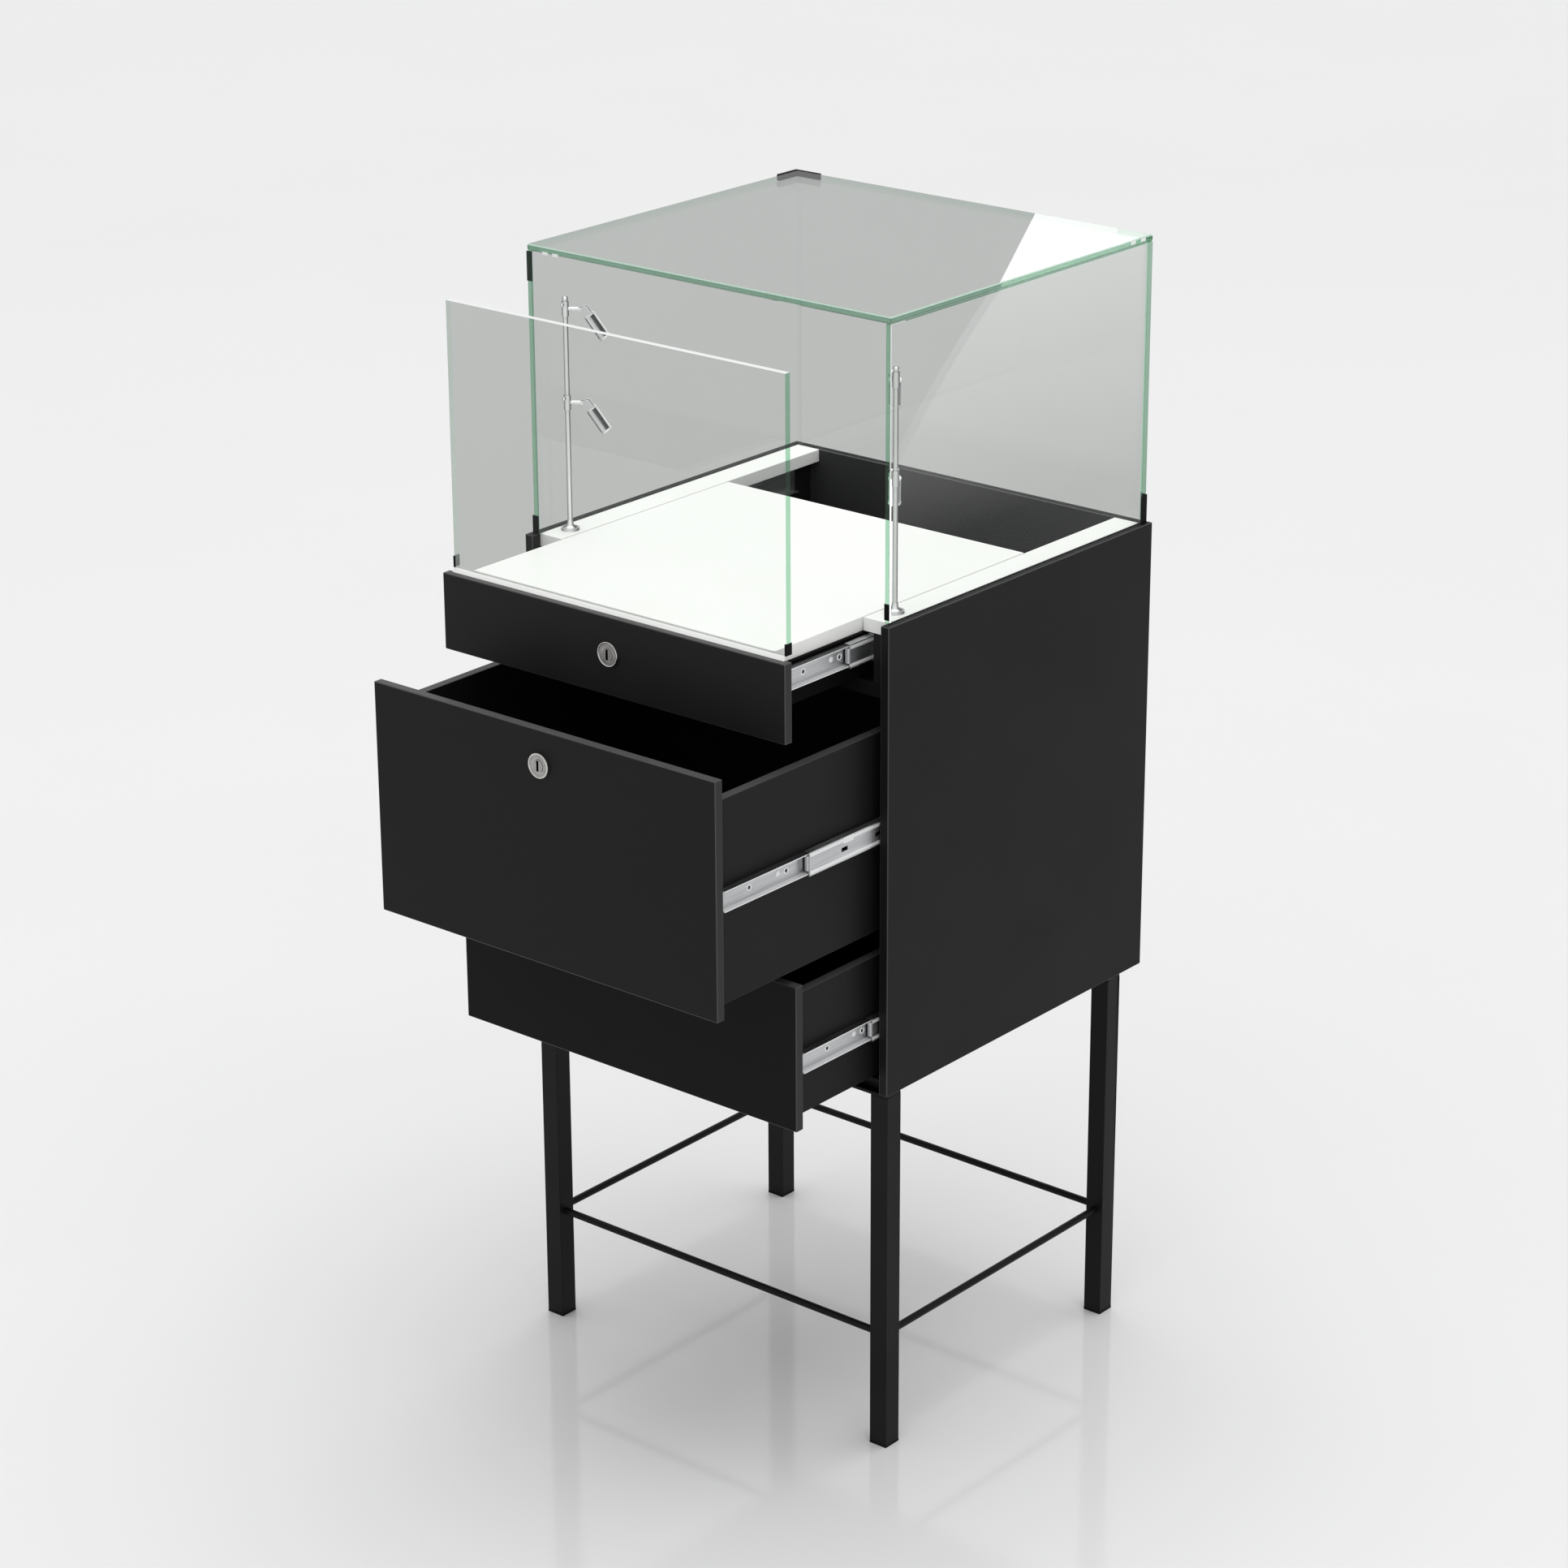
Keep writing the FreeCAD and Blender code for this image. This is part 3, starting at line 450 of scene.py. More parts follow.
# Painted shade: dark zinc on top of the upper slide flanges
painted_shade_zinc = metal_material("zinc_painted_shade", (0.10, 0.102, 0.104), (0.16, 0.162, 0.165), 0.5, SLIDE_BRUSH)
dark_steel = metal_material("dark_steel", grey(0.05), grey(0.10), 0.4, (400, 400, 400))
nickel = satin_material("lock_metal", (0.30, 0.295, 0.285), (0.42, 0.415, 0.40), rough=0.34)
# Painted highlight: a lighter copy of the lock metal for the rims
rim_highlight_nickel = satin_material("lock_rim_painted_highlight", (0.52, 0.51, 0.49), (0.66, 0.65, 0.63), rough=0.28)
lock_steel = satin_material("lock_steel", (0.42, 0.42, 0.41), (0.62, 0.62, 0.60), rough=0.34)
foot = plastic_material("foot_plastic", grey(0.006), grey(0.010), rough=0.5)
clip_black = plastic_material("corner_plastic", grey(0.0035), grey(0.0060), rough=0.5)
# Painted shade: near black for the inside of the key slots
key_slot_shade_black = plastic_material("key_slot_painted_shade", grey(0.0015), grey(0.0030), rough=0.6)

# Lights: chrome, bases and housings with painted reflection bands, the right housings a lighter copy
chrome = painted_reflection_material("light_chrome", grey(0.10), grey(0.97), rough=0.14, bright_turn=-55, start=-0.6,
                           metallic=0.3)
base_chrome_painted_reflection = painted_reflection_material("base_chrome_painted_reflection", grey(0.10), (0.70, 0.70, 0.705), rough=0.2, bright_turn=-55,
                                start=-0.6, metallic=0.5, upper=(0.52, 0.52, 0.525))
housing = painted_reflection_material("light_housing", (0.07, 0.07, 0.072), (0.86, 0.86, 0.865), rough=0.25, bright_turn=75,
                            start=-0.35, metallic=0.4, upper=grey(0.95), about=across_head("left"), reflection_bands=3)
right_housing_painted_reflection = painted_reflection_material("right_housing_painted_reflection", (0.40, 0.40, 0.402), (0.95, 0.95, 0.955), rough=0.25,
                                   bright_turn=-60, start=-0.5, metallic=0.3, upper=grey(0.95),
                                   about=across_head("right"), reflection_bands=3)
HOUSINGS = {"left": housing, "right": right_housing_painted_reflection}
ring_metal = satin_material("light_ring", grey(0.86), grey(0.95), rough=0.3)
lens = lens_material("light_lens", (0.66, 0.66, 0.62), (0.90, 0.90, 0.86))

NODE_MATERIALS = {
    "right_side_panel": black, "left_side_panel": black, "back_panel": black, "bottom_panel": black,
    "divider_panel": black, "fillers": top_painted_light_black, "rails": white,
    "top_front": top_painted_light_black, "middle_front": black, "bottom_front": low_painted_shade_black,
    "tray_deck": white, "tray_sides": inside_painted_shade_black, "tray_rear": inside_painted_shade_black,
    "middle_box_sides": black, "middle_box_back": black, "middle_box_floor": inside_painted_shade_black,
    "bottom_box_sides": black, "bottom_box_back": black, "bottom_box_floor": inside_painted_shade_black,
    "leg_front_right": frame_black, "leg_rear_right": frame_black,
    "leg_front_left": frame_black, "leg_rear_left": frame_black, "stretchers": frame_black,
    "leg_screws": dark_steel, "foot_pads": foot, "slide_fixed_members": zinc,
    "light_poles": chrome, "pole_bases": base_chrome_painted_reflection,
}
for drawer in SLIDES:
    NODE_MATERIALS[drawer + "_slide_middle"] = zinc
    NODE_MATERIALS[drawer + "_slide_inner"] = zinc
for lock in LOCKS:
    for piece, metal in (("barrel", nickel), ("nut", lock_steel), ("plug", nickel), ("cam", lock_steel)):
        NODE_MATERIALS[lock + "_lock_" + piece] = metal
for light_name in LIGHTS:
    NODE_MATERIALS["light_arm_" + light_name] = chrome
    NODE_MATERIALS["light_head_" + light_name] = HOUSINGS[light_name.split("_")[0]]
    NODE_MATERIALS["light_lens_" + light_name] = lens
for node_name, material in NODE_MATERIALS.items():
    mesh = nodes[node_name].data
    mesh.materials.clear()
    mesh.materials.append(material)

# Glass panes: thin axis, axes of the glued faces, and the materials of faces, free edges and arrises.
# The front pane's top edge is bright as a painted highlight, its left edge pale, and its foot clear in the seal.
FACE, FREE, ARRIS, BRIGHT = range(4)
PANES = {
    "glass_right": ("x", "z", (glare_film_glass, edge, right_arris)),
    "glass_left": ("x", "z", (glass, edge, edge_arris)),
    "glass_back": ("y", "xz", (glass, edge, edge_arris)),
    "glass_front": ("y", "", (glass, edge, pale_edge)),
    "glass_top": ("z", "", (glass, top_edge, top_arris)),
}


def front_pane_slot(polygon, facing):
    if facing == "z":
        return BRIGHT if polygon.normal.z > 0 else FACE
    if polygon.center.z < PANE_FOOT * MM:
        return FACE
    if polygon.normal.x < -0.5:
        return ARRIS
    return FACE if facing == "y" else FREE


for pane_name, (thin_axis, glued_axes, pane_materials) in PANES.items():
    mesh = nodes[pane_name].data
    mesh.materials.clear()
    for material in (*pane_materials, highlight_glass_edge):
        mesh.materials.append(material)
    for polygon in mesh.polygons:
        facing = "xyz"[max(range(3), key=lambda axis: abs(polygon.normal[axis]))]
        if pane_name == "glass_front":
            polygon.material_index = front_pane_slot(polygon, facing)
        else:
            polygon.material_index = FACE if facing in thin_axis + glued_axes else FREE


# Softened arrises, whose faces may take a material slot of their own
WELD_DISTANCE, ARRIS_ANGLE = 0.02, math.radians(50)


def soften(name, width, segments=2, slot=-1):
    item = nodes[name]
    weld = item.modifiers.new("weld", "WELD")
    weld.merge_threshold = WELD_DISTANCE * MM
    bevel = item.modifiers.new("arris", "BEVEL")
    bevel.width = width * MM
    bevel.segments = segments
    bevel.limit_method = "ANGLE"
    bevel.angle_limit = ARRIS_ANGLE
    bevel.harden_normals = True
    bevel.material = slot


# Boards: edges that face up may differ from the faces as painted light, and arrises are lighter as a painted highlight
UPPER_SLOT, END_SLOT, ARRIS_SLOT, INNER_SLOT = 1, 2, 3, 4
SQUARE_ON = 0.985


def trim_board(name, upper, ends=None):
    mesh = nodes[name].data
    for material in (upper, ends or edge_black, arris_painted_highlight_black):
        mesh.materials.append(material)
    for polygon in mesh.polygons:
        if max(abs(part) for part in polygon.normal) < SQUARE_ON:
            polygon.material_index = ARRIS_SLOT
        elif polygon.normal.z > SQUARE_ON:
            polygon.material_index = UPPER_SLOT
        elif ends and abs(polygon.normal.x) > SQUARE_ON:
            polygon.material_index = END_SLOT


BOARD_ARRIS, SMALL_ARRIS, TUBE_ARRIS, PANE_CHAMFER, TOP_CHAMFER = 0.8, 0.7, 0.6, 1.3, 2.0
for board in ("top_front", "middle_front", "bottom_front"):
    trim_board(board, upward_painted_light_black, edge_black)
for board in ("middle_box_sides", "bottom_box_sides", "middle_box_back", "bottom_box_back"):
    trim_board(board, upward_painted_light_black)
    soften(board, BOARD_ARRIS, slot=ARRIS_SLOT)
for board in ("right_side_panel", "left_side_panel", "back_panel"):
    trim_board(board, black)
    soften(board, BOARD_ARRIS, slot=ARRIS_SLOT)
for board in ("bottom_panel", "divider_panel", "rails", "tray_deck", "tray_sides", "tray_rear"):
    soften(board, SMALL_ARRIS)
for tube in ("leg_front_right", "leg_rear_right", "leg_front_left", "leg_rear_left"):
    soften(tube, TUBE_ARRIS)
for pane_name, chamfer in (("glass_right", PANE_CHAMFER), ("glass_left", PANE_CHAMFER), ("glass_top", TOP_CHAMFER)):
    soften(pane_name, chamfer, segments=1, slot=ARRIS)

# Back panel: its inner face takes a lighter copy of the board, painted light as from above
panel = nodes["back_panel"].data
panel.materials.append(rear_painted_light_black)
for polygon in panel.polygons:
    if polygon.normal.y < -SQUARE_ON:
        polygon.material_index = INNER_SLOT

# Lock plugs: the key slot is painted near black inside, as shade
for lock, (front_y, lock_z) in LOCKS.items():
    mesh = nodes[lock + "_lock_plug"].data
    mesh.materials.append(key_slot_shade_black)
    for polygon in mesh.polygons:
        depth = polygon.center.y / MM - (front_y - PLUG_FACE)
        beside = abs(polygon.center.x / MM) < KEY_HALF_WIDTH + KEY_SLACK
        within = abs(polygon.center.z / MM - lock_z) < KEY_HALF_HEIGHT + KEY_SLACK
        if beside and within and KEY_SLACK / 2 < depth < KEY_DEPTH + KEY_SLACK:
            polygon.material_index = 1

# Drawer members of the slides: the lower flange is brighter than the brushed web as a painted highlight, the upper one
# dark on top as painted shade
LIP_SLOT, SHADE_SLOT, MOSTLY = 1, 2, 0.7
for drawer, (wall_x, _, _, slide_z) in SLIDES.items():
    mesh = nodes[drawer + "_slide_inner"].data
    mesh.materials.append(bright_zinc_and_highlight)
    mesh.materials.append(painted_shade_zinc)
    for polygon in mesh.polygons:
        flange = abs(polygon.center.x) > (wall_x - FLANGE_INSET) * MM
        if flange and polygon.normal.z > MOSTLY and polygon.center.z > slide_z * MM:
            polygon.material_index = SHADE_SLOT
        elif flange or abs(polygon.normal.y) > MOSTLY:
            polygon.material_index = LIP_SLOT


# Mesh builders for the small pieces
def mesh_piece(name, parts, material, body, smooth=None):
    points, faces = [], []
    for part_points, part_faces in parts:
        shift = len(points)
        points += [tuple(p) for p in part_points]
        faces += [tuple(i + shift for i in face) for face in part_faces]
    mesh = bpy.data.meshes.new(name)
    mesh.from_pydata(points, [], faces)
    work = bmesh.new()
    work.from_mesh(mesh)
    bmesh.ops.recalc_face_normals(work, faces=work.faces)
    work.to_mesh(mesh)
    work.free()
    mesh.materials.append(material)
    item = bpy.data.objects.new(name, mesh)
    scene.collection.objects.link(item)
    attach(item, body)
    if smooth:
        for polygon in mesh.polygons:
            polygon.use_smooth = True
        mesh.set_sharp_from_angle(angle=math.radians(smooth))


def across(axis):
    helper = UP if abs(axis.z) < 0.9 else Vector((1, 0, 0))
    first = axis.cross(helper).normalized()
    return first, axis.cross(first).normalized()


# Points and faces of a closed profile of radius and distance along the axis, turned about the axis
def turned(profile, origin, axis, steps=40):
    axis = Vector(axis).normalized()
    first, second = across(axis)
    points, faces = [], []
    count = len(profile)
    for step in range(steps):
        angle = 2 * math.pi * step / steps
        outward = first * math.cos(angle) + second * math.sin(angle)
        for radius, along in profile:
            points.append((Vector(origin) + axis * along + outward * radius) * MM)
    for step in range(steps):
        here, there = step * count, ((step + 1) % steps) * count
        for row in range(count):
            after = (row + 1) % count
            faces.append((here + row, here + after, there + after, there + row))
    return points, faces


# Points and faces between two levels of one axis, from an outline in the other two
def prism(outline, low, high, axis):
    count = len(outline)
    points = []
    for level in (low, high):
        for first, second in outline:
            place = {"x": (level, first, second), "y": (first, level, second), "z": (first, second, level)}[axis]
            points.append(Vector(place) * MM)
    faces = [tuple(range(count)), tuple(range(count, 2 * count))]
    for i in range(count):
        after = (i + 1) % count
        faces.append((i, after, count + after, count + i))
    return points, faces


# Outline of a strip of even thickness bent along an arc
def bent_strip(middle, radius, thickness, start, end, steps=10):
    outer, inner = [], []
    for step in range(steps + 1):
        angle = start + (end - start) * step / steps
        turn = Vector((math.cos(angle), math.sin(angle)))
        outer.append(Vector(middle) + turn * radius)
        inner.append(Vector(middle) + turn * (radius - thickness))
    return [tuple(p) for p in outer + inner[::-1]]


def moved(outline, first_shift, second_shift):
    return [(first + first_shift, second + second_shift) for first, second in outline]


# Lock trims: a rounded rim on each rose and a thin line round the plug, in a lighter copy of the lock metal as a
# painted highlight
ROSE_RIM = ((15.0, -0.05), (15.0, 0.3), (14.7, 0.62), (14.2, 0.70), (13.5, 0.62), (13.1, 0.3), (13.0, -0.05))
PLUG_LINE = ((9.2, -0.05), (9.1, 0.18), (8.7, 0.24), (8.4, 0.18), (8.35, -0.05))
for lock, (front_y, lock_z) in LOCKS.items():
    parts = [turned(profile, (0, front_y - ROSE_FACE, lock_z), (0, -1, 0), 72) for profile in (ROSE_RIM, PLUG_LINE)]
    mesh_piece(lock + "_lock_trim", parts, rim_highlight_nickel, lock + "_drawer", smooth=50)

# Light poles: a cap on each top and a flared socket on each base
POLE_CAP = ((0.02, 2.0), (1.6, 1.9), (2.9, 1.4), (3.5, 0.6), (3.6, -1.4), (3.05, -1.6), (3.05, -0.02), (0.02, -0.02))
POLE_SOCKET = ((3.02, 0.0), (8.6, 0.0), (8.2, 0.7), (5.6, 1.6), (4.3, 3.0), (3.75, 6.0), (3.5, 8.4), (3.02, 8.6))
for side, sign in SIGNS.items():
    parts = [turned(POLE_CAP, (sign * POLE_X, POLE_Y, POLE_TOP), UP, 32),
             turned(POLE_SOCKET, (sign * POLE_X, POLE_Y, POLE_FOOT), UP)]
    mesh_piece("pole_fittings_" + side, parts, chrome, "case", smooth=40)

# Light heads: a bezel ring at the mouth and a rim at the back, and a clamp knob on each collar
BEZEL = ((7.02, 38.4), (7.35, 38.6), (7.45, 39.2), (7.45, 40.6), (7.2, 41.0), (6.2, 41.15), (5.1, 40.6),
         (5.1, 40.2), (6.0, 40.4), (7.02, 40.4))
BACK_RIM = ((7.02, 7.4), (7.3, 7.5), (7.35, 8.0), (7.35, 8.9), (7.2, 9.2), (7.02, 9.2))
KNOB = ((0.02, 8.6), (1.3, 8.5), (1.9, 8.0), (2.1, 7.2), (2.0, 6.2), (1.2, 5.6), (1.0, 4.1), (0.02, 4.1))
KNOB_TURN, KNOB_LIFT = math.radians(115), 5.5
for light_name in LIGHTS:
    side, level = light_name.split("_")
    post = Vector((SIGNS[side] * POLE_X, POLE_Y, HEIGHTS[level]))
    pivot = post + arm_direction(side) * REACH
    parts = [turned(profile, pivot, head_direction(side)) for profile in (BEZEL, BACK_RIM)]
    mesh_piece("light_rings_" + light_name, parts, ring_metal, "light_head_" + light_name, smooth=40)
    outward = Matrix.Rotation(SIGNS[side] * KNOB_TURN, 3, "Z") @ arm_direction(side)
    parts = [turned(KNOB, post + UP * KNOB_LIFT, outward, 24)]
    mesh_piece("light_clamp_" + light_name, parts, chrome, "light_arm_" + light_name, smooth=40)

# Slides: pressed rims round the holes, a rivet and a tab on each drawer member
HOLE_RIM = ((2.35, -0.1), (4.3, -0.1), (4.1, 0.25), (3.5, 0.55), (2.9, 0.5), (2.35, 0.2))
RIVET = ((0.02, -0.1), (3.6, -0.1), (3.5, 0.5), (2.6, 1.0), (1.2, 1.1), (0.9, 0.7), (0.02, 0.7))
TAB = ((0.2, -13.2), (3.0, -13.2), (3.0, -18.0), (2.2, -18.8), (0.2, -18.8))
HOLES_ALONG, RIVET_ALONG, RIVET_LIFT, TAB_IN, TAB_OUT = (50, 114), 99, 1, 1.0, 0.2
for drawer, (wall_x, member_y, _, slide_z) in SLIDES.items():
    web_x = wall_x - MEMBER_INSET
    parts = []
    for sign in (1, -1):
        for along in HOLES_ALONG:
            parts.append(turned(HOLE_RIM, (sign * web_x, member_y + along, slide_z), (sign, 0, 0), 28))
        rivet_place = (sign * web_x, member_y + RIVET_ALONG, slide_z + RIVET_LIFT)
        parts.append(turned(RIVET, rivet_place, (sign, 0, 0), 28))
        tab = moved(TAB, member_y, slide_z)
        parts.append(prism(tab, sign * (web_x - TAB_IN), sign * (web_x + TAB_OUT), "x"))
    mesh_piece(drawer + "_slide_rims", parts, bright_zinc_and_highlight, drawer + "_drawer", smooth=40)

# Slides: ball races pressed in the middle members, a bent nose at their front end and a clip on the upper race
RACE_LIFT, RACE_END = 10.6, 1.0
RACE = ((-0.1, -2.3), (0.28, -1.656), (0.4, -0.736), (0.4, 0.736), (0.28, 1.656), (-0.1, 2.3))
RACE_CLIP = ((61, 6.6), (77, 6.6), (78, 7.6), (78, 13.4), (77, 14.2), (61, 14.2), (60, 13.4), (60, 7.6))
CLIP_IN, CLIP_OUT = 0.1, 0.6
NOSE_RADIUS, NOSE_BACK, NOSE_THICKNESS, NOSE_HALF = 4.2, 4.4, 0.9, 9.0
NOSE_START, NOSE_END = math.radians(5), math.radians(-125)
for drawer, (wall_x, _, carriage_y, slide_z) in SLIDES.items():
    web_out = wall_x - CARRIAGE_INSET
    web_in = web_out - CARRIAGE_WEB
    nose = bent_strip((web_in - NOSE_RADIUS, carriage_y + NOSE_BACK), NOSE_RADIUS, NOSE_THICKNESS,
                      NOSE_START, NOSE_END)
    races, noses = [], []
    for sign in (1, -1):
        for lift in (-RACE_LIFT, RACE_LIFT):
            race = [(sign * x, z) for x, z in moved(RACE, web_out, slide_z + lift)]
            races.append(prism(race, carriage_y + RACE_END, carriage_y + MEMBER_LENGTH - RACE_END, "y"))
        noses.append(prism([(sign * x, y) for x, y in nose], slide_z - NOSE_HALF, slide_z + NOSE_HALF, "z"))
        clip = moved(RACE_CLIP, carriage_y, slide_z)
        races.append(prism(clip, sign * (web_out - CLIP_IN), sign * (web_out + CLIP_OUT), "x"))
    mesh_piece(drawer + "_slide_races", races, bright_zinc_and_highlight, drawer + "_carriage", smooth=40)
    mesh_piece(drawer + "_slide_noses", noses, zinc, drawer + "_carriage", smooth=40)


# Outline of a cap before the front edge of a side pane, with its corners cut
def edge_cap(start, end, depth, cut_x, cut_y):
    face = BOX_FRONT - depth
    return [(start, BOX_FRONT), (start, face + cut_y), (start + cut_x, face), (end - cut_x, face),
            (end, face + cut_y), (end, BOX_FRONT)]


# Black guards: an angle on the rear left corner of the top pane, and caps on three foot corners of the side panes
ANGLE_LEG_X, ANGLE_LEG_Y, ANGLE_OUT, ANGLE_BACK, ANGLE_END, ANGLE_CORNER = 36, 34, 5.2, 4.2, 0.8, 1.2
angle_out, angle_back = -SIDE_OUT - ANGLE_OUT, BOX_REAR + ANGLE_BACK
angle_right, angle_fore = ANGLE_LEG_X - SIDE_OUT, BOX_REAR - ANGLE_LEG_Y
angle = [(-SIDE_OUT, angle_fore), (-SIDE_OUT, BOX_REAR), (angle_right, BOX_REAR),
         (angle_right, angle_back - ANGLE_END), (angle_right - ANGLE_END, angle_back),
         (angle_out + ANGLE_CORNER, angle_back), (angle_out, angle_back - ANGLE_CORNER),
         (angle_out, angle_fore + ANGLE_END), (angle_out + ANGLE_END, angle_fore)]
CAP_WIDER, CAP_NARROWER, CAP_LEG, CAP_BACK, CAP_END, CAP_CORNER = 0.6, 0.4, 11, 1.2, 0.4, 0.8
left_cap = edge_cap(-SIDE_OUT - CAP_WIDER, -SIDE_IN + CAP_WIDER, depth=1.5, cut_x=0.5, cut_y=0.6)
right_cap = edge_cap(SIDE_IN + CAP_NARROWER, SIDE_OUT - CAP_NARROWER, depth=1.0, cut_x=0.6, cut_y=0.4)
cap_out, cap_fore, cap_back = SIDE_OUT + CAP_WIDER, BOX_REAR - CAP_LEG, BOX_REAR + CAP_BACK
rear_cap = [(SIDE_OUT, cap_fore), (cap_out, cap_fore + CAP_END), (cap_out, cap_back - CAP_CORNER),
            (cap_out - CAP_CORNER, cap_back), (SIDE_IN + CAP_END, cap_back), (SIDE_IN, BOX_REAR + CAP_WIDER),
            (SIDE_IN, BOX_REAR), (SIDE_OUT, BOX_REAR)]
GUARD_GAP, ANGLE_SUNK = 0.2, 0.05
LEFT_CAP_HEAD, RIGHT_CAP_FOOT, RIGHT_CAP_HEAD, REAR_CAP_HEAD = RIM + 23, RIM + 5, RIM + 24, RIM + 35
parts = [prism(angle, TOP_UNDER + GUARD_GAP, TOP_FACE - ANGLE_SUNK, "z"),
         prism(left_cap, RIM + GUARD_GAP, LEFT_CAP_HEAD, "z"),
         prism(right_cap, RIGHT_CAP_FOOT, RIGHT_CAP_HEAD, "z"),
         prism(rear_cap, RIM + GUARD_GAP, REAR_CAP_HEAD, "z")]
mesh_piece("glass_guards", parts, clip_black, "case")

# Painted shade: a dark strip on the upper end of the left pane's front edge
STRIP_CUT, STRIP_PROUD, STRIP_BACK, STRIP_HEIGHT, STRIP_GAP = 0.4, 0.5, 0.8, 35.6, 0.4
strip_face, strip_top = BOX_FRONT - STRIP_PROUD, TOP_UNDER - STRIP_GAP
strip = [(-SIDE_OUT, BOX_FRONT + STRIP_BACK), (STRIP_CUT - SIDE_OUT, strip_face), (-SIDE_IN - STRIP_CUT, strip_face),
         (-SIDE_IN, BOX_FRONT + STRIP_BACK)]
mesh_piece("edge_shade", [prism(strip, strip_top - STRIP_HEIGHT, strip_top, "z")], painted_shade_edge, "case")

# White seal along the foot of the front pane, and black clips on its lower corners.
# Outlines start from the pane's outer face and the top of the drawer front, or from the pane's corner.
SEAL = ((-3.8, 0.15), (-0.9, 4.5), (-0.4, 4.8), (-0.05, 4.8), (-0.05, 0.15))
SEAL_SHORT = 0.4
seal = prism(moved(SEAL, PANE_FACE, FRONT_TOP), SEAL_SHORT - PANE_HALF, PANE_HALF - SEAL_SHORT, "x")
mesh_piece("pane_seal", [seal], white, "top_drawer")
CORNER_CLIP = ((-1.8, -0.1), (-1.8, -0.9), (-1.4, -1.3), (0.6, -1.3), (0.9, -0.9), (0.9, 8.7), (0.1, 8.7), (0.1, -0.1))
CORNER_FOOT, CORNER_HEAD = FRONT_TOP + 5.3, FRONT_TOP + 19
parts = []
for sign in SIGNS.values():
    corner = [(sign * x, y) for x, y in moved(CORNER_CLIP, PANE_HALF, PANE_FACE)]
    parts.append(prism(corner, CORNER_FOOT, CORNER_HEAD, "z"))
mesh_piece("pane_corners", parts, clip_black, "top_drawer")

# Small pale clips at the front left and rear right corners of the top pane, whose white is a painted glint
CLIP_PROUD = 0.7
FRONT_STARTS, FRONT_LENGTH, FRONT_LEVELS = (-247, -231), 9, (TOP_UNDER - 1.0, TOP_UNDER + 2.5)
REAR_STARTS, REAR_LENGTH, REAR_LEVELS = (224, 244), 10, (TOP_UNDER + 3.5, TOP_FACE - 0.5)


# Outline of a clip along an edge: distance along it and how far it stands out
def clip_outline(start, length):
    return [(start, 0), (start + 1, CLIP_PROUD), (start + length - 1, CLIP_PROUD), (start + length, 0)]


parts = []
for start in FRONT_STARTS:
    outline = [(along, BOX_FRONT - out) for along, out in clip_outline(start, FRONT_LENGTH)]
    parts.append(prism(outline, *FRONT_LEVELS, "z"))
for start in REAR_STARTS:
    outline = [(SIDE_OUT + out, along) for along, out in clip_outline(start, REAR_LENGTH)]
    parts.append(prism(outline, *REAR_LEVELS, "z"))
mesh_piece("glass_glint_clips", parts, highlight_glass_edge, "case")

# Floor: pale and glossy, and greyer where it is seen through glass, as in the photograph
FLOOR_TONES = ((0.800, 0.800, 0.802), (0.810, 0.810, 0.812))
FLOOR_BEHIND_GLASS = (0.405, 0.41, 0.402)
FAR = 40.0
floor_material, tree, out = start_material("studio_floor")
shader = principled(tree, out, **{"Specular IOR Level": 0.5, "Roughness": 0.09})
cloud = noise(tree, coordinates(tree), scale=1.5, detail=3.0)
plain = two_colours(tree, spread(tree, cloud, 0, 1), *FLOOR_TONES)
path = add(tree, "LightPath")
behind = calculate(tree, "GREATER_THAN", path.outputs["Transparent Depth"], 0.5)
link(tree, two_colours(tree, behind, plain, FLOOR_BEHIND_GLASS), shader.inputs["Base Color"])
floor_mesh = bpy.data.meshes.new("studio_floor")
floor_mesh.from_pydata([(-FAR, -FAR, 0), (FAR, -FAR, 0), (FAR, FAR, 0), (-FAR, FAR, 0)], [], [(0, 1, 2, 3)])
floor_mesh.materials.append(floor_material)
floor = bpy.data.objects.new("studio_floor", floor_mesh)
scene.collection.objects.link(floor)

# World: as a light it is dim at the horizon and brighter above. As a backdrop it is as pale as the floor
# at the horizon and greyer above, also for what metal and glass mirror.
GLOW = ((0.56, 0.56, 0.565), (0.72, 0.72, 0.72))
BACKDROP = ((0.87, 0.87, 0.872), (0.68, 0.68, 0.685))
world = bpy.data.worlds.new("studio")
scene.world = world
world.use_nodes = True
tree = world.node_tree
tree.nodes.clear()
climb = component(tree, "Generated", "Z")
glow = two_colours(tree, spread(tree, climb, 0, 1, 0.0, 1.0), *GLOW)
backdrop = two_colours(tree, spread(tree, climb, 0, 1, 0.04, 0.22), *BACKDROP)
path = add(tree, "LightPath")
shown = path.outputs["Is Camera Ray"]
for kind in ("Is Glossy Ray", "Is Transmission Ray"):
    shown = calculate(tree, "MAXIMUM", shown, path.outputs[kind])
sky = add(tree, "Background")
link(tree, two_colours(tree, shown, glow, backdrop), sky.inputs["Color"])
world_out = add(tree, "OutputWorld")
link(tree, sky.outputs["Background"], world_out.inputs["Surface"])


def aim(lamp, toward):
    lamp.rotation_mode = "QUATERNION"
    lamp.rotation_quaternion = Vector(toward).normalized().to_track_quat("Z", "Y")


def add_lamp(name, kind, energy):
    data = bpy.data.lights.new(name, kind)
    data.energy = energy
    lamp = bpy.data.objects.new(name, data)
    scene.collection.objects.link(lamp)
    return lamp, data


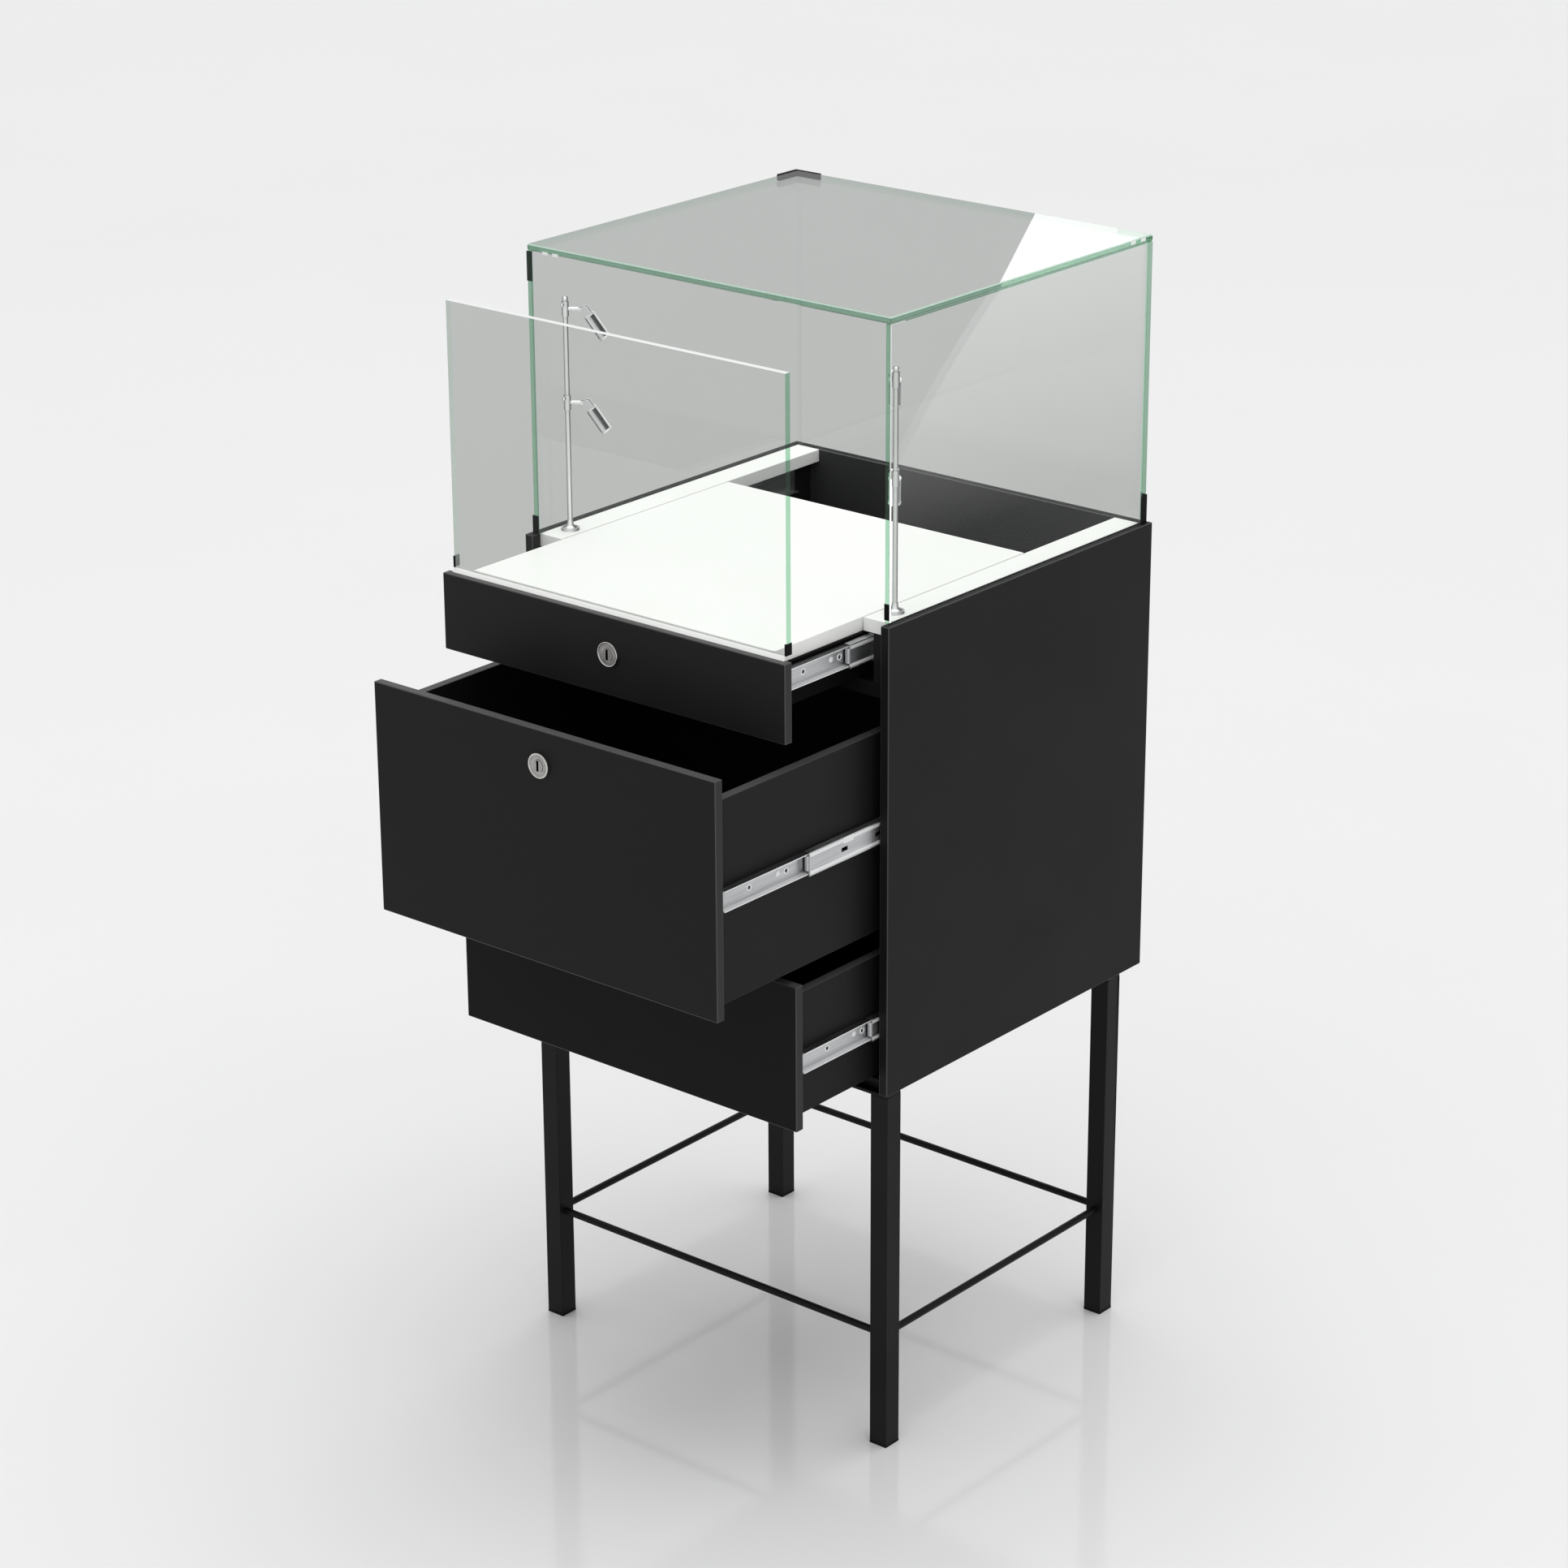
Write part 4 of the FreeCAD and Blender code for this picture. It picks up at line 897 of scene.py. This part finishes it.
# Soft key light from above and a little behind, and a weak fill from the front right
for name, energy, width, toward in (("soft_key", 1.28, 60, (-0.05, 0.2, 1.0)),
                                    ("soft_fill", 0.58, 100, (0.6, -0.7, 0.45))):
    sun, sun_data = add_lamp(name, "SUN", energy)
    sun_data.angle = math.radians(width)
    aim(sun, toward)

# Camera fitted to the photograph: angles in radians, focal length in photo pixels, target and distance
AZIMUTH, ELEVATION, ROLL = 0.6963324, 0.3652819, -0.0048187
FOCAL_PIXELS, PHOTO_PIXELS, SENSOR = 5195.607, 1932, 36.0
TARGET, DISTANCE = Vector((-72.432, 0, 705.425)), 5214.409
level_back = Vector((math.sin(AZIMUTH), -math.cos(AZIMUTH), 0))
back = level_back * math.cos(ELEVATION) + UP * math.sin(ELEVATION)
right = Vector((math.cos(AZIMUTH), math.sin(AZIMUTH), 0))
up = back.cross(right)
turned_right = right * math.cos(ROLL) + up * math.sin(ROLL)
turned_up = up * math.cos(ROLL) - right * math.sin(ROLL)
eye = (TARGET + back * DISTANCE) * MM
camera_data = bpy.data.cameras.new("camera")
camera_data.sensor_width = SENSOR
camera_data.lens = FOCAL_PIXELS * SENSOR / PHOTO_PIXELS
camera_data.clip_end = 200.0
camera = bpy.data.objects.new("camera", camera_data)
scene.collection.objects.link(camera)
camera.matrix_world = Matrix.Translation(eye) @ Matrix((turned_right, turned_up, back)).transposed().to_4x4()
scene.camera = camera


# Lets a lamp fall on one pane only
def light_only(lamp, pane):
    receivers = bpy.data.collections.new(lamp.name + "_pane")
    receivers.objects.link(nodes[pane])
    lamp.light_linking.receiver_collection = receivers


# Card that shows only as glare on the top pane: one edge is mirrored along a line on the glass, the rest to its side
GLARE_LINE, GLARE_SIDE = ((94, 279, TOP_FACE), (242, 22, TOP_FACE)), (SIDE_OUT, BOX_REAR, TOP_FACE)
CARD_DISTANCE, CARD_SIZE, CARD_RADIANCE = 6.0, 3.0, 2.4
spots = []
for point in (*GLARE_LINE, GLARE_SIDE):
    ray = (Vector(point) * MM - eye).normalized()
    mirrored = ray - UP * (2 * ray.dot(UP))
    spots.append(Vector(point) * MM + mirrored * CARD_DISTANCE)
along = (spots[1] - spots[0]).normalized()
middle = (spots[0] + spots[1]) / 2
aside = spots[2] - middle
aside = (aside - along * aside.dot(along)).normalized()
facing = along.cross(aside)
pane_middle = (Vector(GLARE_LINE[0]) + Vector(GLARE_LINE[1])) / 2 * MM
if facing.dot(pane_middle - middle) > 0:
    facing, along = -facing, -along
card, card_data = add_lamp("top_glare", "AREA", CARD_RADIANCE * math.pi * CARD_SIZE * CARD_SIZE)
card_data.shape = "SQUARE"
card_data.size = CARD_SIZE
card.matrix_world = (Matrix.Translation(middle + aside * CARD_SIZE / 2)
                     @ Matrix((along, aside, facing)).transposed().to_4x4())
card.visible_camera = False
card.visible_diffuse = False
card.visible_transmission = False
light_only(card, "glass_top")

# Spot that shows only on the film of the right pane: its round edge crosses the pane as a slanted line
LINE_MIDDLE, INTO_LIGHT = Vector((SIDE_OUT, -128, 1312)) * MM, Vector((0, 0.667, -0.745))
SPOT_ENERGY, SPOT_RADIUS, SPOT_DISTANCE = 1150, 1.3, 2.6
spot, spot_data = add_lamp("side_glare", "SPOT", SPOT_ENERGY)
spot_data.spot_size = 2 * math.atan2(SPOT_RADIUS, SPOT_DISTANCE)
spot_data.spot_blend = 0.0
spot_data.shadow_soft_size = 0.0
spot.location = LINE_MIDDLE + INTO_LIGHT * SPOT_RADIUS + Vector((SPOT_DISTANCE, 0, 0))
aim(spot, (1, 0, 0))
light_only(spot, "glass_right")
